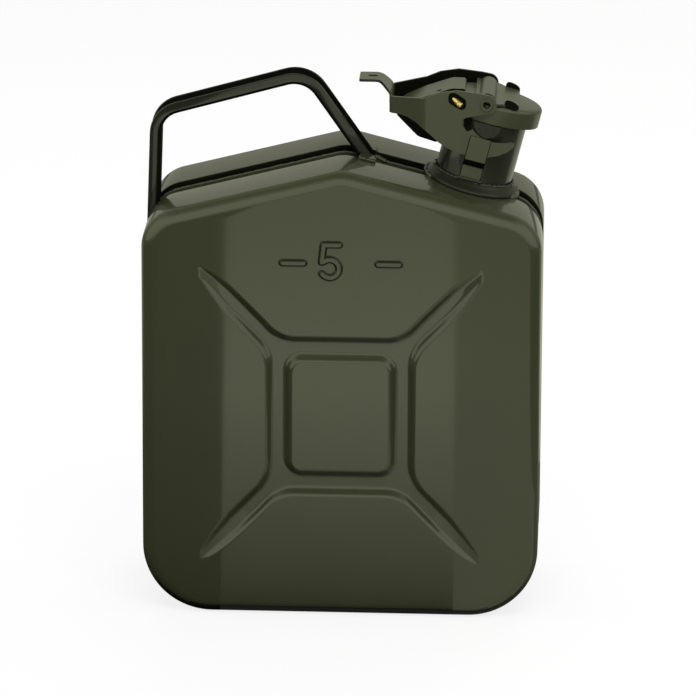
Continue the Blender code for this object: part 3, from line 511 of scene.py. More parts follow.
def reckon(tree: bpy.types.NodeTree, operation: str, *values: float | bpy.types.NodeSocket,
           clamp: bool = False) -> bpy.types.NodeSocket:
    """A Math node.

    Args:
        tree: The node tree.
        operation: What the node does.
        values: Its inputs, numbers or sockets.
        clamp: Whether the result is held between 0 and 1.

    Returns:
        The socket of the result.
    """
    node = tree.nodes.new("ShaderNodeMath")
    node.operation = operation
    node.use_clamp = clamp
    for socket, value in zip(node.inputs, values):
        feed(tree, socket, value)
    return node.outputs[0]


def noise(tree: bpy.types.NodeTree, vector: bpy.types.NodeSocket, scale: float | bpy.types.NodeSocket,
          detail: float = 3.0, roughness: float = 0.5) -> bpy.types.NodeSocket:
    """A noise texture.

    Args:
        tree: The node tree.
        vector: Where the noise is read.
        scale: How fine it is.
        detail: How many finer layers it has.
        roughness: How strong they are.

    Returns:
        The socket of its value.
    """
    node = tree.nodes.new("ShaderNodeTexNoise")
    node.inputs["Detail"].default_value = detail
    node.inputs["Roughness"].default_value = roughness
    tree.links.new(vector, node.inputs["Vector"])
    feed(tree, node.inputs["Scale"], scale)
    return node.outputs["Fac"]


def ramp(tree: bpy.types.NodeTree, source: bpy.types.NodeSocket, low: float, high: float) -> bpy.types.NodeSocket:
    """Maps a value between two limits to 0..1.

    Args:
        tree: The node tree.
        source: The socket of the value.
        low: Where the result is 0.
        high: Where the result is 1.

    Returns:
        The socket of the result.
    """
    node = tree.nodes.new("ShaderNodeMapRange")
    node.inputs["From Min"].default_value = low
    node.inputs["From Max"].default_value = high
    tree.links.new(source, node.inputs["Value"])
    return node.outputs["Result"]


def new_group(name: str, inputs: dict, outputs: tuple) -> tuple:
    """Starts a shader group that reads a vector.

    Args:
        name: Name of the group.
        inputs: Its number inputs and their values.
        outputs: Names of its outputs.

    Returns:
        The tree, the outputs of its input node and the inputs of its output node.
    """
    tree = bpy.data.node_groups.new(name, "ShaderNodeTree")
    group_socket(tree, "Vector", "NodeSocketVector")
    for key, value in inputs.items():
        group_socket(tree, key, "NodeSocketFloat", value)
    for key in outputs:
        group_socket(tree, key, "NodeSocketFloat", output=True)
    return tree, tree.nodes.new("NodeGroupInput").outputs, tree.nodes.new("NodeGroupOutput").inputs


def enamel_grain_group() -> None:
    """Orange peel of sprayed enamel: a height, a roughness and a faint tone that vary over the surface."""
    tree, given, out = new_group("enamel_grain", {"Peel Scale": 420.0, "Roughness": 0.3, "Roughness Spread": 0.05},
                                 ("Height", "Roughness Out", "Tone"))
    peel = noise(tree, given["Vector"], given["Peel Scale"], detail=2.0)
    broad = noise(tree, given["Vector"], scale=14.0, detail=3.0)
    spread = reckon(tree, "MULTIPLY", reckon(tree, "SUBTRACT", broad, 0.5), given["Roughness Spread"])
    rough = reckon(tree, "ADD", given["Roughness"], spread)
    link_pairs(tree, (peel, out["Height"]), (rough, out["Roughness Out"]),
               (ramp(tree, broad, low=0.25, high=0.75), out["Tone"]))


def edge_wear_group() -> None:
    """A mask of thinly worn paint along the convex edges, broken up by noise."""
    tree, given, out = new_group("edge_wear", {"Start": 0.56, "Amount": 0.4}, ("Mask",))
    pointed = tree.nodes.new("ShaderNodeNewGeometry").outputs["Pointiness"]
    sharp = reckon(tree, "MULTIPLY", reckon(tree, "SUBTRACT", pointed, given["Start"]), 12.0, clamp=True)
    chips = noise(tree, given["Vector"], scale=260.0, detail=4.0, roughness=0.6)
    chipped = ramp(tree, chips, low=0.52, high=0.7)
    both = reckon(tree, "MULTIPLY", sharp, chipped)
    link_pairs(tree, (reckon(tree, "MULTIPLY", both, given["Amount"], clamp=True), out["Mask"]))


def dust_group() -> None:
    """A mask of fine dust that settles on what faces up, in soft patches."""
    tree, given, out = new_group("settled_dust", {"Amount": 0.1}, ("Mask",))
    parts = tree.nodes.new("ShaderNodeSeparateXYZ")
    link_pairs(tree, (tree.nodes.new("ShaderNodeNewGeometry").outputs["Normal"], parts.inputs[0]))
    up = ramp(tree, parts.outputs["Z"], low=0.45, high=1.0)
    broken = noise(tree, given["Vector"], scale=38.0, detail=5.0, roughness=0.62)
    patches = ramp(tree, broken, low=0.42, high=0.75)
    both = reckon(tree, "MULTIPLY", up, patches)
    link_pairs(tree, (reckon(tree, "MULTIPLY", both, given["Amount"]), out["Mask"]))


def group_node(tree: bpy.types.NodeTree, name: str, vector: bpy.types.NodeSocket, **values: float) -> bpy.types.Node:
    """Places a shader group in a material with its own values.

    Args:
        tree: The material's tree.
        name: Name of the group.
        vector: Where its patterns are read.
        values: Its inputs, with _ for a space.

    Returns:
        The group's node.
    """
    node = tree.nodes.new("ShaderNodeGroup")
    node.node_tree = bpy.data.node_groups[name]
    tree.links.new(vector, node.inputs["Vector"])
    for key, value in values.items():
        node.inputs[key.replace("_", " ")].default_value = value
    return node


def mix_colour(tree: bpy.types.NodeTree, factor: bpy.types.NodeSocket, first: tuple | bpy.types.NodeSocket,
               second: tuple) -> bpy.types.NodeSocket:
    """Blends two colours by a mask.

    Args:
        tree: The node tree.
        factor: The mask.
        first: The colour where the mask is 0, or its socket.
        second: The colour where the mask is 1.

    Returns:
        The socket of the blend.
    """
    node = tree.nodes.new("ShaderNodeMix")
    node.data_type = "RGBA"
    tree.links.new(factor, node.inputs["Factor"])
    colours = [s for s in node.inputs if s.type == "RGBA"]
    if isinstance(first, tuple):
        colours[0].default_value = (*first, 1.0)
    else:
        tree.links.new(first, colours[0])
    colours[1].default_value = (*second, 1.0)
    return next(s for s in node.outputs if s.type == "RGBA")


def new_material(name: str) -> tuple:
    """Starts a node material.

    Args:
        name: Name of the material.

    Returns:
        The material, its tree and the inputs of its Principled shader.
    """
    made = bpy.data.materials.new(name)
    made.use_nodes = True
    return made, made.node_tree, made.node_tree.nodes["Principled BSDF"].inputs


def object_coordinates(tree: bpy.types.NodeTree) -> bpy.types.NodeSocket:
    """The place on the piece."""
    return tree.nodes.new("ShaderNodeTexCoord").outputs["Object"]


def grained(tree: bpy.types.NodeTree, shader: bpy.types.bpy_prop_collection, colour: bpy.types.NodeSocket,
            grain: bpy.types.Node, strength: float, depth: float) -> None:
    """Gives a shader its colour, and its roughness and relief from the grain group.

    Args:
        tree: The material's tree.
        shader: Inputs of its Principled shader.
        colour: The socket of the colour.
        grain: The grain group's node.
        strength: How strong the relief is.
        depth: How deep it is.
    """
    bump = tree.nodes.new("ShaderNodeBump")
    bump.inputs["Strength"].default_value = strength
    bump.inputs["Distance"].default_value = depth
    link_pairs(tree, (colour, shader["Base Color"]), (grain.outputs["Roughness Out"], shader["Roughness"]),
               (grain.outputs["Height"], bump.inputs["Height"]), (bump.outputs["Normal"], shader["Normal"]))


@dataclass(frozen=True)
class Enamel:
    """Semi-gloss olive enamel over steel."""

    name: str = "olive_enamel"
    light: tuple = (0.0480, 0.0540, 0.0240)
    deep: tuple = (0.0425, 0.0475, 0.0210)
    bare: tuple = (0.16, 0.16, 0.14)
    dust: tuple = (0.20, 0.19, 0.16)
    roughness: float = 0.42
    coat_roughness: float = 0.045
    wear: float = 0.35
    dustiness: float = 0.05
    peel_strength: float = 0.05
    peel_depth: float = 0.4 * MM
    coat: float = 1.0
    coat_ior: float = 1.5
    specular: float = 0.25

    def material(self) -> bpy.types.Material:
        """Builds the node material.

        Returns:
            The material.
        """
        made, tree, shader = new_material(self.name)
        coords = object_coordinates(tree)
        grain = group_node(tree, "enamel_grain", coords, Roughness=self.roughness)
        wear = group_node(tree, "edge_wear", coords, Amount=self.wear)
        dust = group_node(tree, "settled_dust", coords, Amount=self.dustiness)
        paint = mix_colour(tree, grain.outputs["Tone"], self.deep, self.light)
        worn = mix_colour(tree, wear.outputs["Mask"], paint, self.bare)
        dusty = mix_colour(tree, dust.outputs["Mask"], worn, self.dust)
        grained(tree, shader, dusty, grain, self.peel_strength, self.peel_depth)
        shader["Coat Weight"].default_value = self.coat
        shader["Coat Roughness"].default_value = self.coat_roughness
        shader["Coat IOR"].default_value = self.coat_ior
        shader["Specular IOR Level"].default_value = self.specular
        return made


@dataclass(frozen=True)
class Metal:
    """A bare metal with fine scratches and a patchy sheen."""

    name: str
    light: tuple
    deep: tuple
    roughness: float
    patchiness: float = 0.2
    scratch_scale: float = 900.0
    scratch_strength: float = 0.12
    scratch_depth: float = 0.1 * MM

    def material(self) -> bpy.types.Material:
        """Builds the node material.

        Returns:
            The material.
        """
        made, tree, shader = new_material(self.name)
        grain = group_node(tree, "enamel_grain", object_coordinates(tree), Roughness=self.roughness,
                           Roughness_Spread=self.patchiness, Peel_Scale=self.scratch_scale)
        colour = mix_colour(tree, grain.outputs["Tone"], self.deep, self.light)
        grained(tree, shader, colour, grain, self.scratch_strength, self.scratch_depth)
        shader["Metallic"].default_value = 1.0
        return made


@dataclass(frozen=True)
class Rubber:
    """Matte fuel-proof rubber with a moulded grain."""

    name: str = "gasket_rubber"
    light: tuple = (0.022, 0.022, 0.021)
    deep: tuple = (0.012, 0.012, 0.012)
    roughness: float = 0.75
    grain_scale: float = 1400.0
    grain_strength: float = 0.25
    grain_depth: float = 0.1 * MM

    def material(self) -> bpy.types.Material:
        """Builds the node material.

        Returns:
            The material.
        """
        made, tree, shader = new_material(self.name)
        grain = group_node(tree, "enamel_grain", object_coordinates(tree), Roughness=self.roughness,
                           Peel_Scale=self.grain_scale)
        colour = mix_colour(tree, grain.outputs["Tone"], self.deep, self.light)
        grained(tree, shader, colour, grain, self.grain_strength, self.grain_depth)
        return made


@dataclass
class Finishes:
    """All finishes of the can, built once."""

    enamel: bpy.types.Material = field(init=False)
    dark: bpy.types.Material = field(init=False)
    bare: bpy.types.Material = field(init=False)
    rubber: bpy.types.Material = field(init=False)
    brass: bpy.types.Material = field(init=False)
    painted_shade: bpy.types.Material = field(init=False)
    satin_with_painted_light: bpy.types.Material = field(init=False)
    neck: bpy.types.Material = field(init=False)
    weld: bpy.types.Material = field(init=False)
    collar: bpy.types.Material = field(init=False)
    handle: bpy.types.Material = field(init=False)

    def __post_init__(self) -> None:
        """Builds the shared groups and then each material."""
        enamel_grain_group()
        edge_wear_group()
        dust_group()
        self.enamel = Enamel().material()
        # Painted shade: a near-black, dull copy of the olive enamel for grooves, channel insides and closure faces
        # where shade falls.
        self.painted_shade = Enamel("near_black_enamel_as_painted_shade", (0.0045, 0.0048, 0.0030), (0.0030, 0.0032, 0.0020),
                             dust=(0.008, 0.008, 0.007), roughness=0.8, coat_roughness=0.5, coat=0.08,
                             wear=0.0, specular=0.05).material()
        # Painted light: a lighter copy of the olive enamel for the closure's small parts; only its rougher satin coat
        # is a real difference.
        self.satin_with_painted_light = Enamel("satin_enamel_lightened_as_painted_light", (0.0570, 0.0635, 0.0290), (0.0510, 0.0570, 0.0260),
                            coat_roughness=0.24, coat=0.9).material()
        # Painted shade: a darker copy of the olive enamel for the handle, the tank's underside, the jaw lugs and some
        # weld beads.
        self.handle = Enamel("enamel_on_handle_darkened_as_painted_shade", (0.0170, 0.0185, 0.0110), (0.0140, 0.0155, 0.0090),
                             coat_roughness=0.06, wear=0.2, specular=0.08).material()
        # Painted shade: a darker copy of the olive enamel for the filler neck.
        self.neck = Enamel("enamel_on_neck_darkened_as_painted_shade", (0.0200, 0.0220, 0.0125), (0.0165, 0.0180, 0.0105),
                           coat_roughness=0.10, wear=0.1).material()
        # Painted shade: a darker copy of the olive enamel for the collar, the numeral's stroke walls and the thumb
        # tab's sides.
        self.collar = Enamel("enamel_on_collar_darkened_as_painted_shade", (0.0200, 0.0222, 0.0122), (0.0162, 0.0180, 0.0098),
                             coat_roughness=0.2, coat=0.45, wear=0.0, specular=0.12).material()
        self.weld = Enamel("enamel_on_welds", coat_roughness=0.3, wear=0.0).material()
        self.dark = Metal("dark_oiled_steel", (0.10, 0.10, 0.085), (0.05, 0.05, 0.042), 0.45).material()
        self.bare = Metal("zinc_plated_steel", (0.50, 0.50, 0.47), (0.36, 0.36, 0.34), 0.34).material()
        self.rubber = Rubber().material()
        self.brass = Metal("polished_brass", (0.95, 0.78, 0.36), (0.80, 0.58, 0.22), 0.34).material()

    def of(self, slot: Slot) -> bpy.types.Material:
        """The material of a slot."""
        return {Slot.PAINT: self.enamel, Slot.DARK: self.dark, Slot.BARE: self.bare,
                Slot.RUBBER: self.rubber, Slot.BRASS: self.brass}[slot]


def dress(piece: bpy.types.Object, finishes: Finishes, slot: Slot, body: Body, *nodes: str,
          paint: bpy.types.Material | None = None) -> None:
    """Gives a finished piece its material and its body, and hides the CAD nodes that it stands for.

    Args:
        piece: The finished piece.
        finishes: The can's finishes.
        slot: The slot of its finish.
        body: The body it rides on.
        nodes: CAD nodes that it replaces.
        paint: A finish of its own within the slot, where it has one.
    """
    piece.data.materials.clear()
    piece.data.materials.append(paint or finishes.of(slot))
    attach(piece, body.value)
    if nodes:
        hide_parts(*nodes)
    LOG.info("%s: %d faces on %s", piece.name, len(piece.data.polygons), body.value)


def paint_faces(piece: bpy.types.Object, material: bpy.types.Material, chosen: Callable) -> None:
    """Gives the faces that a test picks another material.

    Args:
        piece: The finished piece.
        material: The other material.
        chosen: Takes a face and says whether it gets the material.
    """
    piece.data.materials.append(material)
    index = len(piece.data.materials) - 1
    for face in piece.data.polygons:
        if chosen(face):
            face.material_index = index


# The can's own shapes


@dataclass
class CanShape:
    """Outline and cross section of the pressed can, shared by the shells, the seam and the handle."""

    width: float = 240.0 * MM
    depth: float = 112.0 * MM
    height: float = 278.51 * MM
    roof_slope: float = math.radians(14.2)
    crest_radius: float = 21.0 * MM
    shoulder_radius: float = 25.0 * MM
    foot_radius: float = 42.0 * MM
    face_radius: float = 8.0 * MM
    groove_half_width: float = 11.2 * MM
    groove_depth: float = 8.0 * MM
    groove_lip: float = 1.6 * MM
    seam_thickness: float = 1.2 * MM
    seam_standing: float = 6.8 * MM
    gap: float = 0.3 * MM
    neck_along_roof: float = 78.5 * MM
    hole_reach: float = 60 * MM
    hole_steps: int = 64

    @property
    def crest_corner(self) -> float:
        """Height where the two roof slopes would meet without the crest's rounding."""
        return self.height + self.crest_radius / math.cos(self.roof_slope) - self.crest_radius

    @property
    def shoulder_corner(self) -> float:
        """Height where a roof slope would meet the side without the shoulder's rounding."""
        return self.crest_corner - self.width / 2 * math.tan(self.roof_slope)

    @property
    def seam_inset(self) -> float:
        """How far the seam's edge lies within the can's outline."""
        return self.groove_depth - self.seam_standing

    @property
    def roof_matrix(self) -> Matrix:
        """Places what is drawn on the right roof slope, X down the slope and Z off it."""
        return Matrix.Translation((0, 0, self.crest_corner)) @ Matrix.Rotation(self.roof_slope, 4, "Y")

    @property
    def neck_matrix(self) -> Matrix:
        """The neck's frame, its axis along Z and its origin on the roof.

        Returns:
            The matrix that places what is drawn in that frame.
        """
        down = Vector((math.cos(self.roof_slope), 0, -math.sin(self.roof_slope)))
        base = Vector((0, 0, self.crest_corner)) + down * self.neck_along_roof
        return Matrix.Translation(base) @ Matrix.Rotation(self.roof_slope, 4, "Y")

    def in_neck(self, point: Vector) -> Vector:
        """A point in the neck's own frame."""
        return self.neck_matrix.inverted() @ point

    def outline(self, inset: float, step: float = math.radians(4)) -> list[Vector]:
        """Outline of the can seen from the front, counter-clockwise.

        Args:
            inset: How far within the can's edge it runs.
            step: Largest turn between two points of a rounding.

        Returns:
            The points of the outline.
        """
        half = self.width / 2
        corners = [(-half, 0), (half, 0), (half, self.shoulder_corner), (0, self.crest_corner),
                   (-half, self.shoulder_corner)]
        radii = [self.foot_radius, self.foot_radius, self.shoulder_radius, self.crest_radius,
                 self.shoulder_radius]
        return fillet_path(corners, radii, inset, closed=True, step=step)

    def neck_hole(self, radius: float) -> bpy.types.Object:
        """A tool that cuts the round hole under the neck.

        Args:
            radius: Radius of the hole.

        Returns:
            The tool.
        """
        reach = self.hole_reach
        tool = turned("hole_tool", [(0, -reach), (radius, -reach), (radius, reach), (0, reach)], self.hole_steps)
        tool.data.transform(self.neck_matrix)
        return tool


@dataclass
class Numeral:
    """Raised numeral five between two dashes, as strokes on the front face."""

    bead: float = 1.75 * MM
    wall: float = 1.05 * MM
    rise: float = 1.25 * MM
    top: float = 234.6 * MM
    left: float = -11.4 * MM
    right: float = -0.9 * MM
    lean: float = 1.2 * MM
    stem_foot: float = 223.8 * MM
    bowl: tuple = (-6.6 * MM, 219.9 * MM)
    bowl_radius: float = 5.6 * MM
    bowl_turns: tuple = (132, -151, -12)
    dash_centres: tuple = (-28.55 * MM, 28.7 * MM)
    dash_half: float = 6.3 * MM
    dash_height: float = 223.0 * MM
    zone_half: float = 44 * MM
    zone_height: tuple = (206 * MM, 243 * MM)
    grid: float = 0.4 * MM
    grid_margin: float = 1.9 * MM
    clear_margin: float = 2.3 * MM
    painted_shade_share: float = 0.62
    strokes: list = field(init=False)

    def __post_init__(self) -> None:
        """Draws the strokes from the numeral's own sizes."""
        start = (self.left + self.lean, self.top)
        ring = [(self.bowl[0] + self.bowl_radius * math.cos(turn), self.bowl[1] + self.bowl_radius * math.sin(turn))
                for turn in map(math.radians, range(*self.bowl_turns))]
        dashes = [((centre - self.dash_half, self.dash_height), (centre + self.dash_half, self.dash_height))
                  for centre in self.dash_centres]
        self.strokes = [(start, (self.right, self.top)), (start, (self.left, self.stem_foot)),
                        *zip(ring, ring[1:]), *dashes]

    def distance(self, x: float, z: float) -> float:
        """Distance to the nearest stroke.

        Args:
            x: Place across.
            z: Place up.

        Returns:
            The distance, or a metre for a point outside the numeral's zone.
        """
        if not (self.zone_height[0] < z < self.zone_height[1] and -self.zone_half < x < self.zone_half):
            return 1.0
        return min(segment_distance(x, z, *stroke) for stroke in self.strokes)

    def height(self, x: float, z: float) -> float:
        """How far the face is raised at a point."""
        return self.rise * smoothstep((self.bead + self.wall / 2 - self.distance(x, z)) / self.wall)

    def points(self) -> list[Vector]:
        """A fine grid round the strokes.

        Returns:
            The points of the grid.
        """
        low = self.zone_height[0]
        found = []
        for i in range(int(2 * self.zone_half / self.grid)):
            for j in range(int((self.zone_height[1] - low) / self.grid)):
                x, z = -self.zone_half + i * self.grid, low + j * self.grid
                if self.distance(x, z) < self.bead + self.grid_margin:
                    found.append(Vector((x, z)))
        return found

    def on_wall(self, x: float, z: float) -> bool:
        """Whether a point lies on the wall of a stroke, where shade is painted."""
        return abs(self.distance(x, z) - self.bead) < self.painted_shade_share * self.wall


@dataclass
class CrossedChannel:
    """The crossed stiffening channel that is pressed into a big face.

    The tables give millimetres along an arm, and millimetres or a share of the depth there.
    """

    depth: float = 4.0 * MM
    centre_z: float = 127.0 * MM
    reach: tuple = (90 * MM, 102 * MM)
    pad_half: tuple = (29.3 * MM, 34.3 * MM)
    ring_half: tuple = (45.3 * MM, 50.3 * MM)
    pad_radius: float = 6.5 * MM
    ring_radius: float = 8.0 * MM
    wall: float = 4.6 * MM
    arm_run: float = 5.8 * MM
    fillet: float = 8.0 * MM
    outer_edge: tuple = ((30, 13.6), (40, 14.2), (50, 14.8), (60, 14.9), (68, 14.4), (76, 12.6), (83.5, 9.4))
    inner_edge: tuple = ((30, -5.8), (60, -6.0), (67, -5.4), (75, -2.4), (83.5, 1.6))
    inner_spread: tuple = ((44, 0.0), (60, 1.2), (70, 1.2), (83.5, 0.0))
    fade: tuple = ((48, 1.0), (58, 0.94), (67, 0.72), (75, 0.40), (84.5, 0.0))
    least_fade: float = 0.04
    arm_lean: float = 4.5 * MM
    tip_start: float = 58
    tip_run: float = 22
    probe: float = 2.4 * MM
    flatness: float = 0.004 * MM

    def arm_place(self, x: float, up: float) -> float:
        """How far out along an arm a point lies.

        Args:
            x: Place across.
            up: Height over or under the crossing.

        Returns:
            The place in millimetres.
        """
        across = (up - abs(x) - self.arm_lean) / 2 / MM
        out = abs(x) / MM
        return out + across * (1 - smoothstep((out - self.tip_start) / self.tip_run))

    def arm_distance(self, x: float, up: float) -> float:
        """Signed distance to the arms' edges, measured in the width of a ring wall.

        Args:
            x: Place across.
            up: Height over or under the crossing.

        Returns:
            The distance, negative inside the arms.
        """
        along = abs(x) / MM
        fade = math.sqrt(max(interpolate(self.fade, self.arm_place(x, up)), self.least_fade))
        place = up - abs(x)
        outer, inner = interpolate(self.outer_edge, along) * MM, interpolate(self.inner_edge, along) * MM
        down = (outer - place) / (self.arm_run * fade)
        rise = (place - inner) / ((self.arm_run + interpolate(self.inner_spread, along) * MM) * fade)
        return -self.wall * min(down, rise)

    def sink(self, x: float, z: float) -> float:
        """How far the face is pressed in at a point.

        Args:
            x: Place across.
            z: Place up.

        Returns:
            The depth of the channel there.
        """
        up = abs(z - self.centre_z)
        if abs(x) > self.reach[0] or up > self.reach[1]:
            return 0.0
        outer = rounded_box_distance(x, up, *self.ring_half, self.ring_radius)
        inner = rounded_box_distance(x, up, *self.pad_half, self.pad_radius)
        shape = blended_union(outer, self.arm_distance(x, up), self.fillet)
        depth = self.depth * interpolate(self.fade, self.arm_place(x, up))
        return depth * pressed_wall(-shape / self.wall) * pressed_wall(inner / self.wall)

    def near_wall(self, x: float, z: float) -> bool:
        """Whether the pressed surface bends close to this point.

        Args:
            x: Place across.
            z: Place up.

        Returns:
            True where the depth changes within the probe's reach.
        """
        around = ((0, 0), (1, 0), (-1, 0), (0, 1), (0, -1))
        values = [self.sink(x + i * self.probe, z + j * self.probe) for i, j in around]
        return max(values) - min(values) > self.flatness


@dataclass
class Pressing:
    """One pressed half of the tank: face with channel, rounded edge, side wall and groove."""

    shape: CanShape
    side: Side
    numeral: Numeral | None = None
    channel: CrossedChannel = field(default_factory=CrossedChannel)
    sheet: float = 1.0 * MM
    fine: float = 0.9 * MM
    coarse: float = 7.2 * MM
    margin: float = 1.2 * MM
    roof_margin: float = 0.4 * MM
    shoulder_drop: float = 0.78
    skin_depth: float = 0.05 * MM
    hole_radius: float = 23.6 * MM
    smooth: float = math.radians(40)

    def face_points(self, rim: list[Vector]) -> list[Vector]:
        """Points over the flat face: dense where it is pressed, sparse where it is plain.

        Args:
            rim: The outline that bounds the face.

        Returns:
            The points inside the rim.
        """
        low_x, high_x = min(p.x for p in rim), max(p.x for p in rim)
        low_z, high_z = min(p.y for p in rim), max(p.y for p in rim)
        every = round(self.coarse / self.fine)
        found = self.numeral.points() if self.numeral else []
        for i in range(int((high_x - low_x) / self.fine)):
            x = low_x + (i + 0.5) * self.fine
            for j in range(int((high_z - low_z) / self.fine)):
                z = low_z + (j + 0.5) * self.fine
                plain = i % every == 0 and j % every == 0
                if not (plain or self.channel.near_wall(x, z)) or not self.inside(x, z):
                    continue
                if not self.numeral or self.numeral.distance(x, z) > self.numeral.bead + self.numeral.clear_margin:
                    found.append(Vector((x, z)))
        return found

    def on_stroke_wall(self, face: bpy.types.MeshPolygon) -> bool:
        """Whether a face is part of the outer skin and lies on the wall of a stroke."""
        outer = face.center.y < -self.shape.depth / 2 + self.skin_depth
        return outer and self.numeral.on_wall(face.center.x, face.center.z)

    def inside(self, x: float, z: float) -> bool:
        """Whether a point is well inside the flat face.

        Args:
            x: Place across.
            z: Place up.

        Returns:
            True inside the face's margin.
        """
        shape = self.shape
        half, edge = shape.width / 2, shape.face_radius + self.margin
        if abs(x) > half - edge or z < edge:
            return False
        roof = shape.height - abs(x) * math.tan(shape.roof_slope) - edge / math.cos(shape.roof_slope)
        if z > roof - self.roof_margin:
            return False
        shoulder = shape.shoulder_corner - shape.shoulder_radius * self.shoulder_drop
        for radius, out_z in ((shape.shoulder_radius, z - shoulder), (shape.foot_radius, shape.foot_radius - z)):
            out_x = abs(x) - (half - radius)
            if out_x > 0 and out_z > 0 and math.hypot(out_x, out_z) > radius - edge:
                return False
        return True

    def relief(self, x: float, z: float) -> float:
        """Signed height of the face over its flat level, outward positive."""
        return (self.numeral.height(x, z) if self.numeral else 0.0) - self.channel.sink(x, z)

    def sections(self) -> list[tuple[float, float]]:
        """Cross section from the face's rim over the side wall down to the seam.

        Returns:
            Pairs of depth and inset.
        """
        quarter = math.pi / 2
        half = self.shape.depth / 2
        face, lip = self.shape.face_radius, self.shape.groove_lip
        floor = self.shape.groove_half_width - lip
        pairs = []
        for centre, radius, start, end, count in (
                ((half - face, face), face, 0, -quarter, 10),
                ((self.shape.groove_half_width + lip, lip), lip, -quarter, -2 * quarter, 5),
                ((floor, self.shape.groove_depth - lip), lip, 0, quarter, 4)):
            for i in range(count + 1):
                turn = start + (end - start) * i / count
                pairs.append((centre[0] + radius * math.cos(turn), centre[1] + radius * math.sin(turn)))
        pairs.append((self.shape.seam_thickness / 2 + self.shape.gap, self.shape.groove_depth))
        return pairs

    def build(self, name: str) -> bpy.types.Object:
        """Builds the pressing as a closed sheet with its half of the neck hole.

        Args:
            name: Name of the piece.

        Returns:
            The finished mesh object.
        """
        rim = self.shape.outline(self.shape.face_radius)
        inner = self.face_points(rim)
        edges = [(i, (i + 1) % len(rim)) for i in range(len(rim))]
        bound = [list(range(len(rim)))]
        points, _, faces, _, _, _ = delaunay_2d_cdt(rim + inner, edges, bound, FILLED_INSIDE, FINE_MERGE)
        sign = self.side.value
        level = self.shape.depth / 2
        bm = bmesh.new()
        skin = [bm.verts.new((p.x, sign * (level + self.relief(p.x, p.y)), p.y)) for p in points]
        for face in faces:
            bm.faces.new([skin[i] for i in face])
        before = skin[:len(rim)]
        for depth, inset in self.sections()[1:]:
            ring = [bm.verts.new((p.x, sign * depth, p.y)) for p in self.shape.outline(inset)]
            for i in range(len(ring)):
                bm.faces.new((before[i - 1], before[i], ring[i], ring[i - 1]))
            before = ring
        bmesh.ops.recalc_face_normals(bm, faces=bm.faces)
        bm.faces.ensure_lookup_table()
        if bm.faces[0].normal.y * sign < 0:
            bmesh.ops.reverse_faces(bm, faces=bm.faces)
        shell = bmesh_object(name, bm)
        wall = shell.modifiers.new("sheet", "SOLIDIFY")
        wall.thickness = self.sheet
        wall.offset = -1.0
        wall.use_even_offset = False
        hole = self.shape.neck_hole(self.hole_radius)
        boolean(shell, hole)
        return bake(shell, (hole,), self.smooth)


def ripple_tree() -> bpy.types.NodeTree:
    """Weld ripples along a curve: small flattened beads, each a little different, joined into one bead.

    Returns:
        A Geometry Nodes tree with the inputs Spacing, Width, Height, Scatter and Finish.
    """
    tree = bpy.data.node_groups.new("weld_ripples", "GeometryNodeTree")
    group_socket(tree, "Geometry", "NodeSocketGeometry")
    for key, value in {"Spacing": 1.6 * MM, "Width": 2.0 * MM, "Height": 1.0 * MM, "Scatter": 0.2}.items():
        group_socket(tree, key, "NodeSocketFloat", value)
    group_socket(tree, "Finish", "NodeSocketMaterial")
    group_socket(tree, "Geometry", "NodeSocketGeometry", output=True)
    nodes = tree.nodes
    given = nodes.new("NodeGroupInput").outputs
    out = nodes.new("NodeGroupOutput").inputs
    curve = nodes.new("GeometryNodeMeshToCurve")
    points = nodes.new("GeometryNodeCurveToPoints")
    points.mode = "LENGTH"
    bead = nodes.new("GeometryNodeMeshUVSphere")
    bead.inputs["Segments"].default_value = 8
    bead.inputs["Rings"].default_value = 5
    bead.inputs["Radius"].default_value = 1.0
    size = nodes.new("ShaderNodeCombineXYZ")
    vary = nodes.new("FunctionNodeRandomValue")
    vary.data_type = "FLOAT"
    vary.inputs["Seed"].default_value = 11
    least, most = (next(s for s in vary.inputs if s.name == name and s.type == "VALUE") for name in ("Min", "Max"))
    value = next(s for s in vary.outputs if s.type == "VALUE")
    scale = nodes.new("ShaderNodeVectorMath")
    scale.operation = "SCALE"
    beads = nodes.new("GeometryNodeInstanceOnPoints")
    realize = nodes.new("GeometryNodeRealizeInstances")
    smooth = nodes.new("GeometryNodeSetShadeSmooth")
    finish = nodes.new("GeometryNodeSetMaterial")
    link_pairs(tree, (reckon(tree, "SUBTRACT", 1.0, given["Scatter"]), least),
               (reckon(tree, "ADD", 1.0, given["Scatter"]), most),
               (given["Geometry"], curve.inputs[0]), (curve.outputs[0], points.inputs["Curve"]),
               (given["Spacing"], points.inputs["Length"]),
               (given["Height"], size.inputs["X"]), (given["Width"], size.inputs["Y"]),
               (reckon(tree, "MULTIPLY", given["Spacing"], 0.95), size.inputs["Z"]),
               (size.outputs[0], scale.inputs[0]), (value, scale.inputs["Scale"]),
               (points.outputs["Points"], beads.inputs["Points"]),
               (bead.outputs["Mesh"], beads.inputs["Instance"]),
               (points.outputs["Rotation"], beads.inputs["Rotation"]),
               (scale.outputs[0], beads.inputs["Scale"]),
               (beads.outputs[0], realize.inputs[0]), (realize.outputs[0], smooth.inputs[0]),
               (smooth.outputs[0], finish.inputs["Geometry"]),
               (given["Finish"], finish.inputs["Material"]), (finish.outputs[0], out["Geometry"]))
    return tree


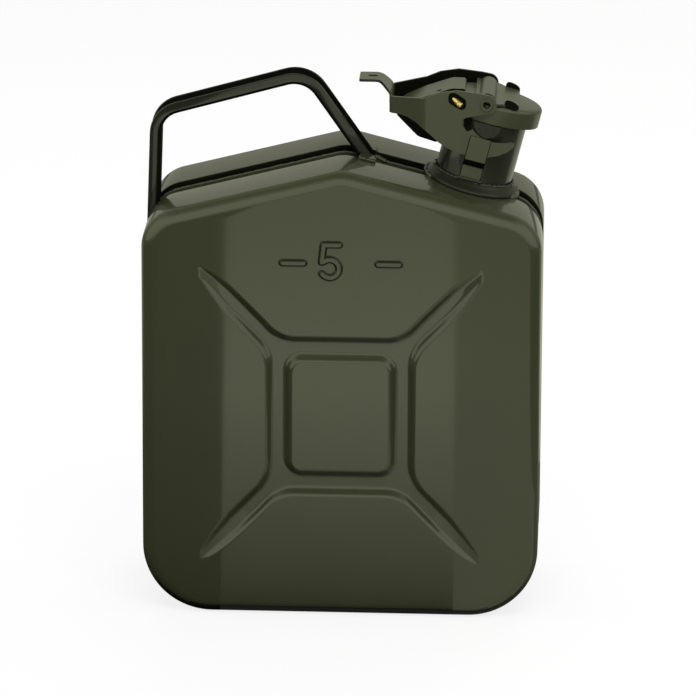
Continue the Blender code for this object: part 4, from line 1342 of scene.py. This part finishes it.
@dataclass
class WeldBead:
    """A rippled weld bead on the can that follows a line."""

    tree: bpy.types.NodeTree
    finishes: Finishes
    spacing: float
    width: float
    height: float
    scatter: float = 0.18

    def build(self, name: str, points: list, paint: bpy.types.Material, closed: bool = False) -> None:
        """Runs the tree along the points, keeps the plain mesh and dresses it.

        Args:
            name: Name of the piece.
            points: The line that the bead follows.
            paint: Its finish.
            closed: Whether the line is a loop.
        """
        mesh = bpy.data.meshes.new(name + "_line")
        edges = [(i, i + 1) for i in range(len(points) - 1)]
        if closed:
            edges.append((len(points) - 1, 0))
        mesh.from_pydata([tuple(p) for p in points], edges, [])
        bead = new_object(name, mesh)
        modifier = bead.modifiers.new("ripples", "NODES")
        modifier.node_group = self.tree
        values = {"Spacing": self.spacing, "Width": self.width, "Height": self.height, "Scatter": self.scatter,
                  "Finish": paint}
        for item in self.tree.interface.items_tree:
            if item.item_type == "SOCKET" and item.in_out == "INPUT" and item.name in values:
                modifier[item.identifier] = values[item.name]
        apply_modifiers(bead)
        dress(bead, self.finishes, Slot.PAINT, Body.CAN, paint=paint)


@dataclass
class Tank:
    """The two pressings and the welded seam between them."""

    shape: CanShape
    finishes: Finishes
    beads: bpy.types.NodeTree
    underside_slope: float = -0.36
    underside_height: float = 30 * MM
    foot_half: float = 3.2 * MM
    foot_sheet: float = 0.5 * MM
    foot_depth: float = 1.7 * MM
    edge: float = 0.25 * MM
    hole_radius: float = 24.0 * MM
    weld_depth: float = 0.15 * MM
    weld_gap: float = 29.5 * MM
    roof_level: float = 0.2
    weld_step: float = 2.0 * MM

    def build(self) -> None:
        """Builds and dresses the shells and the seam."""
        groove = self.shape.groove_half_width + 0.5 * self.shape.groove_lip
        for side in Side:
            name = side.name.lower()
            pressing = Pressing(self.shape, side, Numeral() if side is Side.FRONT else None)
            shell = pressing.build(name + "_pressing")
            dress(shell, self.finishes, Slot.PAINT, Body.CAN, name + "_shell")
            # Painted shade: faces that look down near the ground take the darker handle enamel.
            paint_faces(shell, self.finishes.handle, self.on_underside)
            # Painted shade: the groove's walls and floor take the near-black enamel.
            paint_faces(shell, self.finishes.painted_shade, lambda face: abs(face.center.y) < groove)
            if pressing.numeral:
                # Painted shade: the walls of the raised strokes take the darker collar enamel.
                paint_faces(shell, self.finishes.collar, pressing.on_stroke_wall)
        self.build_seam()
        self.build_seam_weld()

    def on_underside(self, face: bpy.types.MeshPolygon) -> bool:
        """Whether a face looks down near the ground, where shade is painted."""
        return face.normal.z < self.underside_slope and face.center.z < self.underside_height

    def build_seam(self) -> None:
        """The standing seam: two folded flanges on a foot inside the tank."""
        low, high = self.shape.groove_depth + self.foot_depth, self.shape.seam_inset
        half, edge, foot, sole = self.shape.seam_thickness / 2, self.edge, self.foot_half, low - self.foot_sheet
        section = [(low, -foot), (sole, -foot), (sole, -half), (high + edge, -half), (high, -half + edge),
                   (high, half - edge), (high + edge, half), (sole, half), (sole, foot), (low, foot)]
        lines = {inset: self.shape.outline(inset) for inset, _ in section}
        count = len(lines[low])
        rings = [[(lines[inset][i].x, y, lines[inset][i].y) for inset, y in section] for i in range(count)]
        seam = loft("seam_fold", rings, loop=True)
        hole = self.shape.neck_hole(self.hole_radius)
        boolean(seam, hole)
        bake(seam, (hole,))
        dress(seam, self.finishes, Slot.PAINT, Body.CAN, "seam_flange", paint=self.finishes.weld)

    def under_neck(self, point: Vector) -> bool:
        """Whether a point of the seam's edge is taken up by the neck's collar."""
        return abs(self.shape.in_neck(point).x) < self.weld_gap and point.z > self.roof_level

    def build_seam_weld(self) -> None:
        """A rippled weld along the seam's edge, open where the collar sits."""
        line = [Vector((p.x, 0.0, p.y)) for p in self.shape.outline(self.shape.seam_inset + self.weld_depth)]
        start = next(i for i, point in enumerate(line) if self.under_neck(point))
        line = line[start:] + line[:start]
        kept = [point for point in self.resampled(line, self.weld_step) if not self.under_neck(point)]
        bead = WeldBead(self.beads, self.finishes, spacing=1.7 * MM, width=0.8 * MM, height=0.55 * MM)
        bead.build("seam_weld", kept, self.finishes.weld)

    @staticmethod
    def resampled(line: list[Vector], spacing: float) -> list[Vector]:
        """Points at an even spacing along a closed line.

        Args:
            line: Points of the line.
            spacing: Distance between two new points.

        Returns:
            The new points.
        """
        result = []
        for start, end in zip(line, line[1:] + line[:1]):
            count = max(1, round((end - start).length / spacing))
            result += [start.lerp(end, j / count) for j in range(count)]
        return result


@dataclass
class CarryHandle:
    """Folded steel handle: a U channel that opens upward, its rear leg in the groove, its front leg on the rims."""

    shape: CanShape
    finishes: Finishes
    beads: bpy.types.NodeTree
    width: float = 18.0 * MM
    flange: float = 7.0 * MM
    sheet: float = 1.5 * MM
    fold: float = 2.8 * MM
    edge_share: float = 0.32
    fold_share: float = 0.7
    top_slope: float = math.radians(15.5)
    peak_x: float = -21.6 * MM
    rise: float = 52.29 * MM
    leg_x: float = -117.3 * MM
    leg_lean: float = math.radians(1.9)
    leg_drop: float = 45 * MM
    toe_drop: float = 12 * MM
    rear_bend: float = 20.0 * MM
    peak_bend: float = 22.0 * MM
    front_lean: float = math.radians(54.9)
    tab_overhang: float = 2.6 * MM
    tab_length: float = 8.5 * MM
    tab_reach: float = 5.5 * MM
    tab_round: float = 3.5 * MM
    tab_corner: float = 0.1 * MM
    trim_back: float = 11.1 * MM
    trim_reach: float = 60 * MM
    trim_level: float = -3 * MM
    weld_back: float = 8.6 * MM
    weld_front: float = 0.2 * MM
    weld_near: float = 0.4 * MM
    weld_far: float = 5.6 * MM
    weld_level: float = 0.7 * MM
    spatter: tuple = ((-2, 0.2, 0.5), (0.5, -0.3, 1.2), (3, 0.3, 0.6), (6, -0.2, 0.1))
    lining_share: float = 0.9
    lining_side: float = 0.5
    lining_up: float = -0.2
    fold_turn: tuple = (0.3, 0.95)

    def path(self) -> tuple[list[Vector], list[float]]:
        """The handle's outer line, from the rear foot to the front toe.

        Returns:
            Its corners and their bends.
        """
        peak = Vector((self.peak_x, self.shape.height + self.rise))
        run = peak.x - self.leg_x
        rear = Vector((self.leg_x, peak.y - run * math.tan(self.top_slope)))
        leg_end = self.shape.height - self.leg_drop
        foot = Vector((rear.x - (rear.y - leg_end) * math.tan(self.leg_lean), leg_end))
        drop = peak.y - self.shape.height + self.toe_drop
        toe = peak + Vector((drop / math.tan(self.front_lean), -drop))
        return [foot, rear, peak, toe], [0, self.rear_bend, self.peak_bend, 0]

    @staticmethod
    def folded(level: float, reach: float, radius: float, side: int, step: int) -> list[tuple[float, float]]:
        """A quarter round between a flange and the web.

        Args:
            level: Offset of its centre.
            reach: Distance of its centre from the middle plane.
            radius: Its radius.
            side: The sign of Y.
            step: Degrees between two points.

        Returns:
            Its points, from the flange to the web.
        """
        turns = [math.radians(d) for d in range(0, 91, step)]
        return [(level - radius * math.sin(a), side * reach + side * radius * math.cos(a)) for a in turns]

    def section(self) -> list[tuple[float, float]]:
        """Closed cross section with rounded folds and soft edges.

        Returns:
            Pairs of offset outward and place in Y.
        """
        half, low = self.width / 2, -self.flange
        inner_half = half - self.sheet
        edge = self.sheet * self.edge_share
        inner = self.fold - self.sheet * self.fold_share
        outside = [self.folded(low + self.fold, half - self.fold, self.fold, side, step=15) for side in (-1, 1)]
        inside = [self.folded(low + self.sheet + inner, inner_half - inner, inner, side, step=30)
                  for side in (1, -1)]
        return [(0.0, -(half - edge)), (-edge, -half), *outside[0], *outside[1][::-1], (-edge, half),
                (0.0, half - edge), (0.0, inner_half + edge), (-edge, inner_half), *inside[0], *inside[1][::-1],
                (-edge, -inner_half), (0.0, -(inner_half + edge))]

    def build(self) -> None:
        """Builds and dresses the handle."""
        corners, bends = self.path()
        section = self.section()
        stations = [fillet_path(corners, bends, offset) for offset, _ in section]
        rings = [[(point.x, y, point.y) for point, (_, y) in zip(points, section)] for points in zip(*stations)]
        handle = loft("handle_channel", rings, caps=(True, True))
        half = self.width / 2
        floor = prism("floor_tool", self.shape.outline(self.shape.groove_depth - self.shape.gap), -half - MM, half + MM)
        boolean(handle, floor)
        fin = prism("fin_tool", self.shape.outline(self.shape.seam_inset - self.shape.gap),
                    -half + self.sheet, half - self.sheet)
        boolean(handle, fin)
        bake(handle, (floor, fin, *self.tabs(handle)), BEVEL_ANGLE)
        # Painted shade: the handle takes the darker copy of the olive enamel.
        dress(handle, self.finishes, Slot.PAINT, Body.CAN, "carry_handle", paint=self.finishes.handle)
        self.paint_shade_faces(handle, fillet_path(corners, bends))
        self.welds()

    def paint_shade_faces(self, handle: bpy.types.Object, line: list[Vector]) -> None:
        """Painted shade: near-black enamel inside the channel and on the roundings between web and flange.

        Args:
            handle: The finished handle.
            line: Its outer line with the bends.
        """
        limit = self.width / 2 - self.sheet * self.lining_share
        spans = [(tuple(start), tuple(end)) for start, end in zip(line, line[1:])]

        def lining(face: bpy.types.MeshPolygon) -> bool:
            """Whether a face lines the inside of the channel."""
            within = all(abs(handle.data.vertices[i].co.y) <= limit for i in face.vertices)
            return within and (abs(face.normal.y) > self.lining_side or face.normal.z > self.lining_up)

        def on_fold(face: bpy.types.MeshPolygon) -> bool:
            """Whether a face lies on the outer rounding between web and flange."""
            return (self.fold_turn[0] < abs(face.normal.y) < self.fold_turn[1] and self.flange - self.fold
                    < min(segment_distance(face.center.x, face.center.z, *span) for span in spans))

        paint_faces(handle, self.finishes.painted_shade, lambda face: lining(face) or on_fold(face))

    @property
    def tab_end(self) -> float:
        """Where the tabs end.

        Returns:
            The distance from the crest's corner down the roof.
        """
        toe = self.path()[0][3]
        crossing = toe.x - (self.shape.height - toe.y) / math.tan(self.front_lean)
        return (crossing + self.tab_overhang) / math.cos(self.shape.roof_slope)

    def welds(self) -> None:
        """Weld beads round the two tabs and some spatter on the fin between them."""
        end, roof = self.tab_end, self.shape.roof_matrix
        bead = WeldBead(self.beads, self.finishes, spacing=1.2 * MM, width=1.0 * MM, height=0.75 * MM, scatter=0.4)
        for side in Side:
            near, far = (side.value * (self.width / 2 + reach) for reach in (self.weld_near, self.weld_far))
            back, front = end - self.weld_back, end + self.weld_front
            line = [roof @ Vector((x, y, self.weld_level))
                    for x, y in ((back, near), (back, far), (front, far), (front, near))]
            bead.build(f"handle_weld_{side.name.lower()}", line, self.finishes.weld)
        line = [roof @ Vector((end + x * MM, y * MM, -self.shape.seam_inset + z * MM)) for x, y, z in self.spatter]
        drops = WeldBead(self.beads, self.finishes, spacing=1.5 * MM, width=1.1 * MM, height=0.9 * MM, scatter=0.55)
        drops.build("fin_spatter", line, self.finishes.weld)

    def tabs(self, handle: bpy.types.Object) -> list[bpy.types.Object]:
        """Trims the front leg and joins its two welded tabs.

        Args:
            handle: The handle before its modifiers are applied.

        Returns:
            The tools that were used.
        """
        half = self.width / 2
        end, roof = self.tab_end, self.shape.roof_matrix
        back, front, low, high = end - self.trim_back, end + self.trim_reach, -self.trim_reach, self.trim_level
        trim = prism("trim_tool", [Vector(p) for p in ((back, low), (front, low), (front, high), (back, high))],
                     -half - MM, half + MM)
        trim.data.transform(roof)
        boolean(handle, trim)
        tools = [trim]
        for side in Side:
            low, high = sorted((side.value * (half - self.sheet), side.value * (half + self.tab_reach)))
            plan = [(end - self.tab_length, low), (end, low), (end, high), (end - self.tab_length, high)]
            radii = [self.tab_corner, self.tab_corner, self.tab_round, self.tab_round]
            if side is Side.FRONT:
                radii.reverse()
            tab = prism("tab_tool", fillet_path(plan, radii, closed=True, step=math.radians(15)),
                        self.shape.gap, self.shape.gap + self.sheet, "XY")
            tab.data.transform(roof)
            boolean(handle, tab, "UNION")
            tools.append(tab)
        return tools


@dataclass
class Closure:
    """Neck, cap and lever pieces that keep the CAD's shape, with merged faces and rounded edges."""

    shape: CanShape
    finishes: Finishes
    beads: bpy.types.NodeTree
    collar_bore: float = 23.6 * MM
    collar_radius: float = 28.2 * MM
    collar_stretch: float = 0.08
    collar_flare: tuple = ((23.6, 0.35), (28.05, 0.35), (28.2, 0.9), (28.1, 1.7), (27.6, 2.5), (26.9, 3.2),
                           (26.2, 3.9), (25.7, 4.6), (25.3, 5.3), (24.9, 5.9), (24.4, 6.2), (23.6, 6.2))
    lever_reach: float = 26.6 * MM
    tab_root: float = 26.5 * MM
    stop_tab: tuple = (8, 17, 56)
    sideways: float = 0.5
    slightly_down: float = -0.3
    down: float = -0.35
    strap_turn: float = 0.3
    stop_tab_top: float = 0.75
    arm_turn: float = 0.6
    neck_weld: tuple = (24.3 * MM, 24.3 * MM, 6.1 * MM)
    collar_weld: tuple = (28.4 * MM, 30.4 * MM, 0.5 * MM)
    strap_weld: tuple = (25.0 * MM, 7.6 * MM)
    strap_places: tuple = (-9, -6, -3, 0, 3.6)
    pin_ends: tuple = ((65.2, -23.6, 318.0), (70.0, -26.2, 314.0))
    pin_radius: float = 2.3 * MM
    pin_dome: float = 0.5
    collar_smooth: float = math.radians(50)
    pieces: dict = field(default_factory=lambda: {
        "filler_neck": (Body.CAN, Slot.PAINT, 0.0),
        "vent_tube": (Body.CAN, Slot.BARE, 0.15 * MM),
        "vent_clip": (Body.CAN, Slot.BARE, 0.15 * MM),
        "jaw_lug_front": (Body.CAN, Slot.PAINT, 0.4 * MM),
        "jaw_lug_rear": (Body.CAN, Slot.PAINT, 0.4 * MM),
        "guide_strap_front": (Body.CAN, Slot.PAINT, 0.55 * MM),
        "guide_strap_rear": (Body.CAN, Slot.PAINT, 0.55 * MM),
        "cap_cup": (Body.CAP, Slot.PAINT, 0.0),
        "cap_gasket": (Body.CAP, Slot.RUBBER, 0.2 * MM),
        "gasket_plate": (Body.CAP, Slot.BARE, 0.15 * MM),
        "gasket_rivet": (Body.CAP, Slot.BARE, 0.15 * MM),
        "cap_saddle": (Body.CAP, Slot.PAINT, 0.3 * MM),
        "cap_arm": (Body.CAP, Slot.PAINT, 0.3 * MM),
        "pivot_rivet_front": (Body.CAP, Slot.PAINT, 0.12 * MM),
        "pivot_rivet_rear": (Body.CAP, Slot.PAINT, 0.12 * MM),
        "clamp_lever": (Body.LEVER, Slot.PAINT, 0.35 * MM),
        "pin_guide": (Body.LEVER, Slot.DARK, 0.2 * MM),
        "lock_pin": (Body.PIN, Slot.BRASS, 0.2 * MM),
    })

    def build(self) -> None:
        """Builds and dresses each piece from its CAD node."""
        # Painted shade and light: the neck and the jaw lugs take darker copies of the enamel, the other painted pieces
        # a lighter copy.
        own = {"filler_neck": self.finishes.neck, "jaw_lug_front": self.finishes.handle,
               "jaw_lug_rear": self.finishes.handle}
        for node, (body, slot, edge) in self.pieces.items():
            piece = refined_copy(node, node + "_finished", edge)
            paint = own.get(node, self.finishes.satin_with_painted_light) if slot is Slot.PAINT else None
            dress(piece, self.finishes, slot, body, node, paint=paint)
            self.paint_shade_faces(piece, node)
        self.collar()
        self.neck_welds()
        self.pin_head()

    def paint_shade_faces(self, piece: bpy.types.Object, node: str) -> None:
        """Painted shade: near-black enamel on faces where shade falls.

        Args:
            piece: The finished piece.
            node: The CAD node it stands for.
        """
        axis = self.shape.neck_matrix.col[2].to_3d()
        across = self.shape.neck_matrix.col[0].to_3d()

        def in_lever(face: bpy.types.MeshPolygon) -> bool:
            """Whether a face looks inward between the lever's sides, or down."""
            inward = face.normal.y * face.center.y < 0 and abs(face.normal.y) > self.sideways
            return (inward and abs(face.center.y) < self.lever_reach) or face.normal.z < self.down

        def strap_edge(face: bpy.types.MeshPolygon) -> bool:
            """Whether a face is an upright edge of a strap, or looks down the neck."""
            return abs(face.normal.dot(across)) > self.strap_turn or face.normal.dot(axis) < self.down

        def saddle_shade(face: bpy.types.MeshPolygon) -> bool:
            """Whether a face is the side of a stop tab, or looks down the neck.

            Args:
                face: The face.

            Returns:
                True where shade is painted.
            """
            at, up = self.shape.in_neck(face.center) / MM, face.normal.dot(axis)
            beyond = at.x > self.stop_tab[0] and abs(at.y) > self.stop_tab[1] and at.z > self.stop_tab[2]
            return (beyond and up < self.stop_tab_top) or up < self.slightly_down

        def arm_shade(face: bpy.types.MeshPolygon) -> bool:
            """Whether a face is a side of the cap's arm, or looks down the neck."""
            return abs(face.normal.y) > self.arm_turn or face.normal.dot(axis) < self.slightly_down

        tests = {"clamp_lever": in_lever, "guide_strap_front": strap_edge, "guide_strap_rear": strap_edge,
                 "cap_saddle": saddle_shade, "cap_arm": arm_shade, "pin_guide": lambda face: True}
        if node in tests:
            paint_faces(piece, self.finishes.painted_shade, tests[node])
        # Painted shade: the thumb tab's side faces take the darker collar enamel.
        if node == "clamp_lever":
            paint_faces(piece, self.finishes.collar, self.on_tab_edge)

    def on_tab_edge(self, face: bpy.types.MeshPolygon) -> bool:
        """Whether a face is part of the thumb tab's sheared edge."""
        return face.center.x < self.tab_root and abs(face.normal.y) > self.sideways

    def collar(self) -> None:
        """The pressed collar: a flared foot that sweeps up to the neck."""
        collar = turned("neck_collar_flared", [(r * MM, h * MM) for r, h in self.collar_flare], steps=120)
        for vertex in collar.data.vertices:
            out = (math.hypot(vertex.co.x, vertex.co.y) - self.collar_bore) / (self.collar_radius - self.collar_bore)
            vertex.co.y *= 1 + self.collar_stretch * max(0.0, out)
        collar.data.transform(self.shape.neck_matrix)
        shade(collar, self.collar_smooth)
        # Painted shade: the collar takes the darker collar enamel.
        dress(collar, self.finishes, Slot.PAINT, Body.CAN, "neck_collar", paint=self.finishes.collar)

    def round_neck(self, sizes: tuple, turns: range) -> list[Vector]:
        """Points on an oval round the neck.

        Args:
            sizes: The oval's two radii and its height.
            turns: Degrees round the neck.

        Returns:
            The points in the can's frame.
        """
        return [self.shape.neck_matrix @ Vector((sizes[0] * math.cos(a), sizes[1] * math.sin(a), sizes[2]))
                for a in map(math.radians, turns)]

    def neck_welds(self) -> None:
        """Rough weld beads: round the neck, where the collar crosses the groove and at the straps' feet."""
        bead = WeldBead(self.beads, self.finishes, spacing=1.5 * MM, width=0.95 * MM, height=0.85 * MM, scatter=0.42)
        rough = WeldBead(self.beads, self.finishes, spacing=1.7 * MM, width=1.7 * MM, height=1.25 * MM, scatter=0.5)
        # Painted shade: the neck weld and the straps' welds take the darker handle enamel.
        bead.build("neck_weld", self.round_neck(self.neck_weld, range(0, 360, 3)), self.finishes.handle, closed=True)
        for name, middle in (("left", 180), ("right", 0)):
            line = self.round_neck(self.collar_weld, range(middle - 26, middle + 27, 4))
            rough.build(f"collar_weld_{name}", line, self.finishes.weld)
        out, height = self.strap_weld
        for side in Side:
            foot = [self.shape.neck_matrix @ Vector((x * MM, side.value * out, height)) for x in self.strap_places]
            bead.build(f"strap_weld_{side.name.lower()}", foot, self.finishes.handle)

    def pin_head(self) -> None:
        """The pin's bent brass head, which lies across the window."""
        start, end = (Vector(place) * MM for place in self.pin_ends)
        radius, length, dome = self.pin_radius, (end - start).length, self.pin_dome
        quarter = [math.radians(d) for d in range(0, 91, 15)]
        profile = [(radius * math.sin(a), -radius * math.cos(a) * dome) for a in quarter]
        profile += [(radius * math.cos(a), length + radius * math.sin(a) * dome) for a in quarter]
        head = loft("lock_pin_head", turned_rings(profile, steps=24), loop=True)
        tidy_mesh(head, merge=1e-6)
        head.data.transform(Matrix.Translation(start) @ (end - start).to_track_quat("Z", "Y").to_matrix().to_4x4())
        shade(head)
        dress(head, self.finishes, Slot.BRASS, Body.PIN)


# Studio


@dataclass
class Studio:
    """Camera, pale floor and soft light.

    The ramps give the height or depth of a direction where a tone starts and where it is full.
    """

    focal_px: float = 5602.3
    frame_px: int = 696
    sensor: float = 36.0
    yaw: float = math.radians(2.587)
    pitch: float = math.radians(16.907)
    roll: float = math.radians(-0.293)
    distance: float = 3.4185
    target: tuple = (2.08 * MM, 0.0, 153.45 * MM)
    floor_half: float = 6.0
    floor_tone: tuple = (0.18, 0.18, 0.18, 1)
    floor_glow: float = 0.82
    fill: float = 0.34
    front_gloss: float = 1.1
    back_gloss: float = 0.32
    least_gloss: float = 0.03
    front_ramp: tuple = (0.12, -0.12)
    front_sky: tuple = (0.93, 0.62)
    back_sky: tuple = (0.94, 0.80)
    end_ramp: tuple = (0.2, 0.75)
    side_level: float = 0.9
    sky_tint: tuple = (1, 1.01, 0.82)
    card_tint: tuple = (1, 1.01, 0.77, 1)
    card_level: float = 1.0 * MM
    can_half: tuple = (0.120, 0.056, 1.0)
    shade_reach: float = 0.45
    shade_power: float = 0.85
    fall_ramp: tuple = (0.56, 0.90)
    fall_share: float = 0.30
    card_left: float = -0.0725
    card_right: float = 0.0692
    card_front: float = -0.057
    card_far: float = -1.6
    card_last: float = -4.0
    left_bend: tuple = (-0.172, -0.078)
    right_bend: tuple = (0.028, 0.067)
    bend_at: float = -0.147
    card_wide: float = 2.0
    card_near: float = 0.25
    card_middle: float = 0.35
    front_watts: float = 24.0
    back_watts: float = 16.0
    side_watts: float = 7.0

    def camera(self) -> None:
        """Places the camera at the photograph's viewing angle."""
        right = Vector((math.cos(self.yaw), math.sin(self.yaw), 0))
        ahead = Vector((-math.sin(self.yaw) * math.cos(self.pitch), math.cos(self.yaw) * math.cos(self.pitch),
                        -math.sin(self.pitch)))
        down = ahead.cross(right)
        right_turned = right * math.cos(self.roll) + down * math.sin(self.roll)
        down_turned = down * math.cos(self.roll) - right * math.sin(self.roll)
        data = bpy.data.cameras.new("photo_camera")
        data.sensor_width = self.sensor
        data.lens = self.sensor * self.focal_px / self.frame_px
        data.clip_start, data.clip_end = 0.1, 30.0
        camera = bpy.data.objects.new("photo_camera", data)
        bpy.context.scene.collection.objects.link(camera)
        basis = Matrix((right_turned, -down_turned, -ahead)).transposed()
        camera.matrix_world = Matrix.Translation(Vector(self.target) - ahead * self.distance) @ basis.to_4x4()
        bpy.context.scene.camera = camera

    def floor(self) -> None:
        """A wide pale floor that keeps the can's shadow."""
        half = self.floor_half
        floor = mesh_object("studio_floor", [(-half, -half, 0), (half, -half, 0), (half, half, 0), (-half, half, 0)],
                            [(0, 1, 2, 3)])
        finish, tree, shader = new_material("pale_floor")
        shader["Base Color"].default_value = self.floor_tone
        shader["Roughness"].default_value = 0.9
        shader["Specular IOR Level"].default_value = 0.1
        shader["Emission Color"].default_value = (1, 1, 1, 1)
        path = tree.nodes.new("ShaderNodeLightPath").outputs
        feed(tree, shader["Emission Strength"], reckon(tree, "MULTIPLY", path["Is Camera Ray"], self.floor_glow))
        floor.data.materials.append(finish)

    def world(self) -> None:
        """White where the camera sees it; for gloss a pale horizon in front and behind, dark above."""
        world = bpy.data.worlds.new("studio_world")
        bpy.context.scene.world = world
        world.use_nodes = True
        tree = world.node_tree
        back = tree.nodes["Background"].inputs
        path = tree.nodes.new("ShaderNodeLightPath").outputs
        parts = tree.nodes.new("ShaderNodeSeparateXYZ")
        feed(tree, parts.inputs[0], tree.nodes.new("ShaderNodeTexCoord").outputs["Generated"])
        forth, up = parts.outputs["Y"], parts.outputs["Z"]
        front = ramp(tree, forth, *self.front_ramp)
        behind = reckon(tree, "SUBTRACT", 1.0, front)
        front_level = reckon(tree, "MULTIPLY_ADD", ramp(tree, up, *self.front_sky), self.front_gloss, self.least_gloss)
        back_level = reckon(tree, "MULTIPLY", ramp(tree, up, *self.back_sky), self.back_gloss)
        sky = reckon(tree, "MULTIPLY_ADD", back_level, behind, reckon(tree, "MULTIPLY", front_level, front))
        ends = ramp(tree, reckon(tree, "ABSOLUTE", forth), *self.end_ramp)
        sides = reckon(tree, "MULTIPLY_ADD", ends, 1.0 - self.side_level, self.side_level)
        glossy = path["Is Glossy Ray"]
        shown = reckon(tree, "MULTIPLY", reckon(tree, "MULTIPLY", sky, sides), glossy)
        filled = reckon(tree, "MULTIPLY_ADD", reckon(tree, "SUBTRACT", 1.0, glossy), self.fill, shown)
        link_pairs(tree, (mix_colour(tree, glossy, (1, 1, 1), self.sky_tint), back["Color"]),
                   (reckon(tree, "MAXIMUM", filled, path["Is Camera Ray"]), back["Strength"]))

    @staticmethod
    def panel(name: str, at: tuple, aim: tuple, size: tuple, watts: float) -> None:
        """A soft rectangular light that gloss does not mirror.

        Args:
            name: Name of the light.
            at: Its place.
            aim: The place it points at.
            size: Its two sides.
            watts: Its power.
        """
        data = bpy.data.lights.new(name, "AREA")
        data.shape = "RECTANGLE"
        data.size, data.size_y = size
        data.energy = watts
        lamp = bpy.data.objects.new(name, data)
        bpy.context.scene.collection.objects.link(lamp)
        lamp.location = at
        lamp.rotation_euler = (Vector(aim) - Vector(at)).to_track_quat("-Z", "Y").to_euler()
        lamp.visible_glossy = False

    def card(self, name: str, corners: list, level: float, contact: float = 0.0) -> None:
        """A flat card that only gloss sees, dimmer toward the can, as the floor is in its contact shade.

        Args:
            name: Name of the card.
            corners: Its corners on the floor.
            level: Its brightness away from the can.
            contact: Its brightness close to the can.
        """
        card = mesh_object(name, [(x, y, self.card_level) for x, y in corners], [tuple(range(len(corners)))])
        finish, tree, shader = new_material(name + "_tone")
        shader["Base Color"].default_value = (0, 0, 0, 1)
        shader["Specular IOR Level"].default_value = 0.0
        shader["Emission Color"].default_value = self.card_tint
        steps = [tree.nodes.new("ShaderNodeVectorMath") for _ in range(4)]
        for step, operation in zip(steps, ("ABSOLUTE", "SUBTRACT", "MAXIMUM", "LENGTH")):
            step.operation = operation
        steps[1].inputs[1].default_value = self.can_half
        link_pairs(tree, (object_coordinates(tree), steps[0].inputs[0]),
                   *((step.outputs[0], after.inputs[0]) for step, after in zip(steps, steps[1:])))
        away = steps[3].outputs["Value"]
        shaded = reckon(tree, "POWER", ramp(tree, away, 0.0, self.shade_reach), self.shade_power)
        rise = reckon(tree, "MULTIPLY_ADD", shaded, level - contact, contact)
        fall = reckon(tree, "MULTIPLY_ADD", ramp(tree, away, *self.fall_ramp), -self.fall_share, 1.0)
        feed(tree, shader["Emission Strength"], reckon(tree, "MULTIPLY", rise, fall))
        card.data.materials.append(finish)
        card.visible_camera = False
        card.visible_diffuse = False
        card.visible_shadow = False
        card.visible_transmission = False
        card.visible_volume_scatter = False

    def lights(self) -> None:
        """A large soft light above the front, a weaker one behind and one at each side."""
        self.panel("top_front", at=(0.2, -1.3, 1.9), aim=(0, 0, 0.2), size=(1.6, 1.0), watts=self.front_watts)
        self.panel("top_back", at=(0.1, 1.2, 1.8), aim=(0, 0, 0.25), size=(2.0, 1.0), watts=self.back_watts)
        for name, side in (("left_side", -1), ("right_side", 1)):
            self.panel(name, at=(1.7 * side, 0.1, 0.9), aim=(0, 0, 0.15), size=(1.0, 0.8), watts=self.side_watts)

    def cards(self) -> None:
        """The cards on the floor that the faces mirror."""
        left, right, front, far = self.card_left, self.card_right, self.card_front, self.card_far
        wide, near, middle = self.card_wide, self.card_near, self.card_middle
        last, can_y = self.card_last, self.can_half[1]
        left_edge = [(self.left_bend[0], far), (self.left_bend[1], self.bend_at), (left, front)]
        right_edge = [(right, front), (self.right_bend[1], self.bend_at), (self.right_bend[0], far)]
        self.card("left_card", [*left_edge, (left, near), (-wide, near), (-wide, far)], level=0.10)
        self.card("left_back_card", [(-wide, near), (left, near), (left, wide), (-wide, wide)], level=0.45, contact=0.2)
        self.card("middle_card", [*left_edge[::-1], *right_edge[::-1]], level=1.25, contact=0.02)
        self.card("right_card", [*right_edge, (middle, far), (middle, front)], level=0.60, contact=0.54)
        self.card("right_far_card", [(middle, far), (wide, far), (wide, near), (middle, near)],
                  level=0.12, contact=0.12)
        self.card("right_back_card", [(right, -can_y), (middle, -can_y), (middle, near), (right, near)],
                  level=0.2, contact=0.1)
        self.card("right_end_card", [(right, near), (wide, near), (wide, wide), (right, wide)],
                  level=0.55, contact=0.2)
        self.card("back_card", [(left, -front), (right, -front), (right, wide), (left, wide)],
                  level=0.8, contact=0.1)
        self.card("far_card", [(-wide, last), (wide, last), (wide, far), (-wide, far)], level=1.0)

    def build(self) -> None:
        """Sets the whole stage."""
        self.camera()
        self.floor()
        self.world()
        self.lights()
        self.cards()
        bpy.context.scene.view_settings.view_transform = "Standard"


def main() -> None:
    """Loads the frame, builds every sub-assembly in order and sets the stage."""
    logging.basicConfig(level=logging.INFO, format="%(name)s %(message)s")
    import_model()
    finishes = Finishes()
    shape = CanShape()
    beads = ripple_tree()
    Tank(shape, finishes, beads).build()
    CarryHandle(shape, finishes, beads).build()
    Closure(shape, finishes, beads).build()
    Studio().build()


if __name__ == "__main__":
    main()
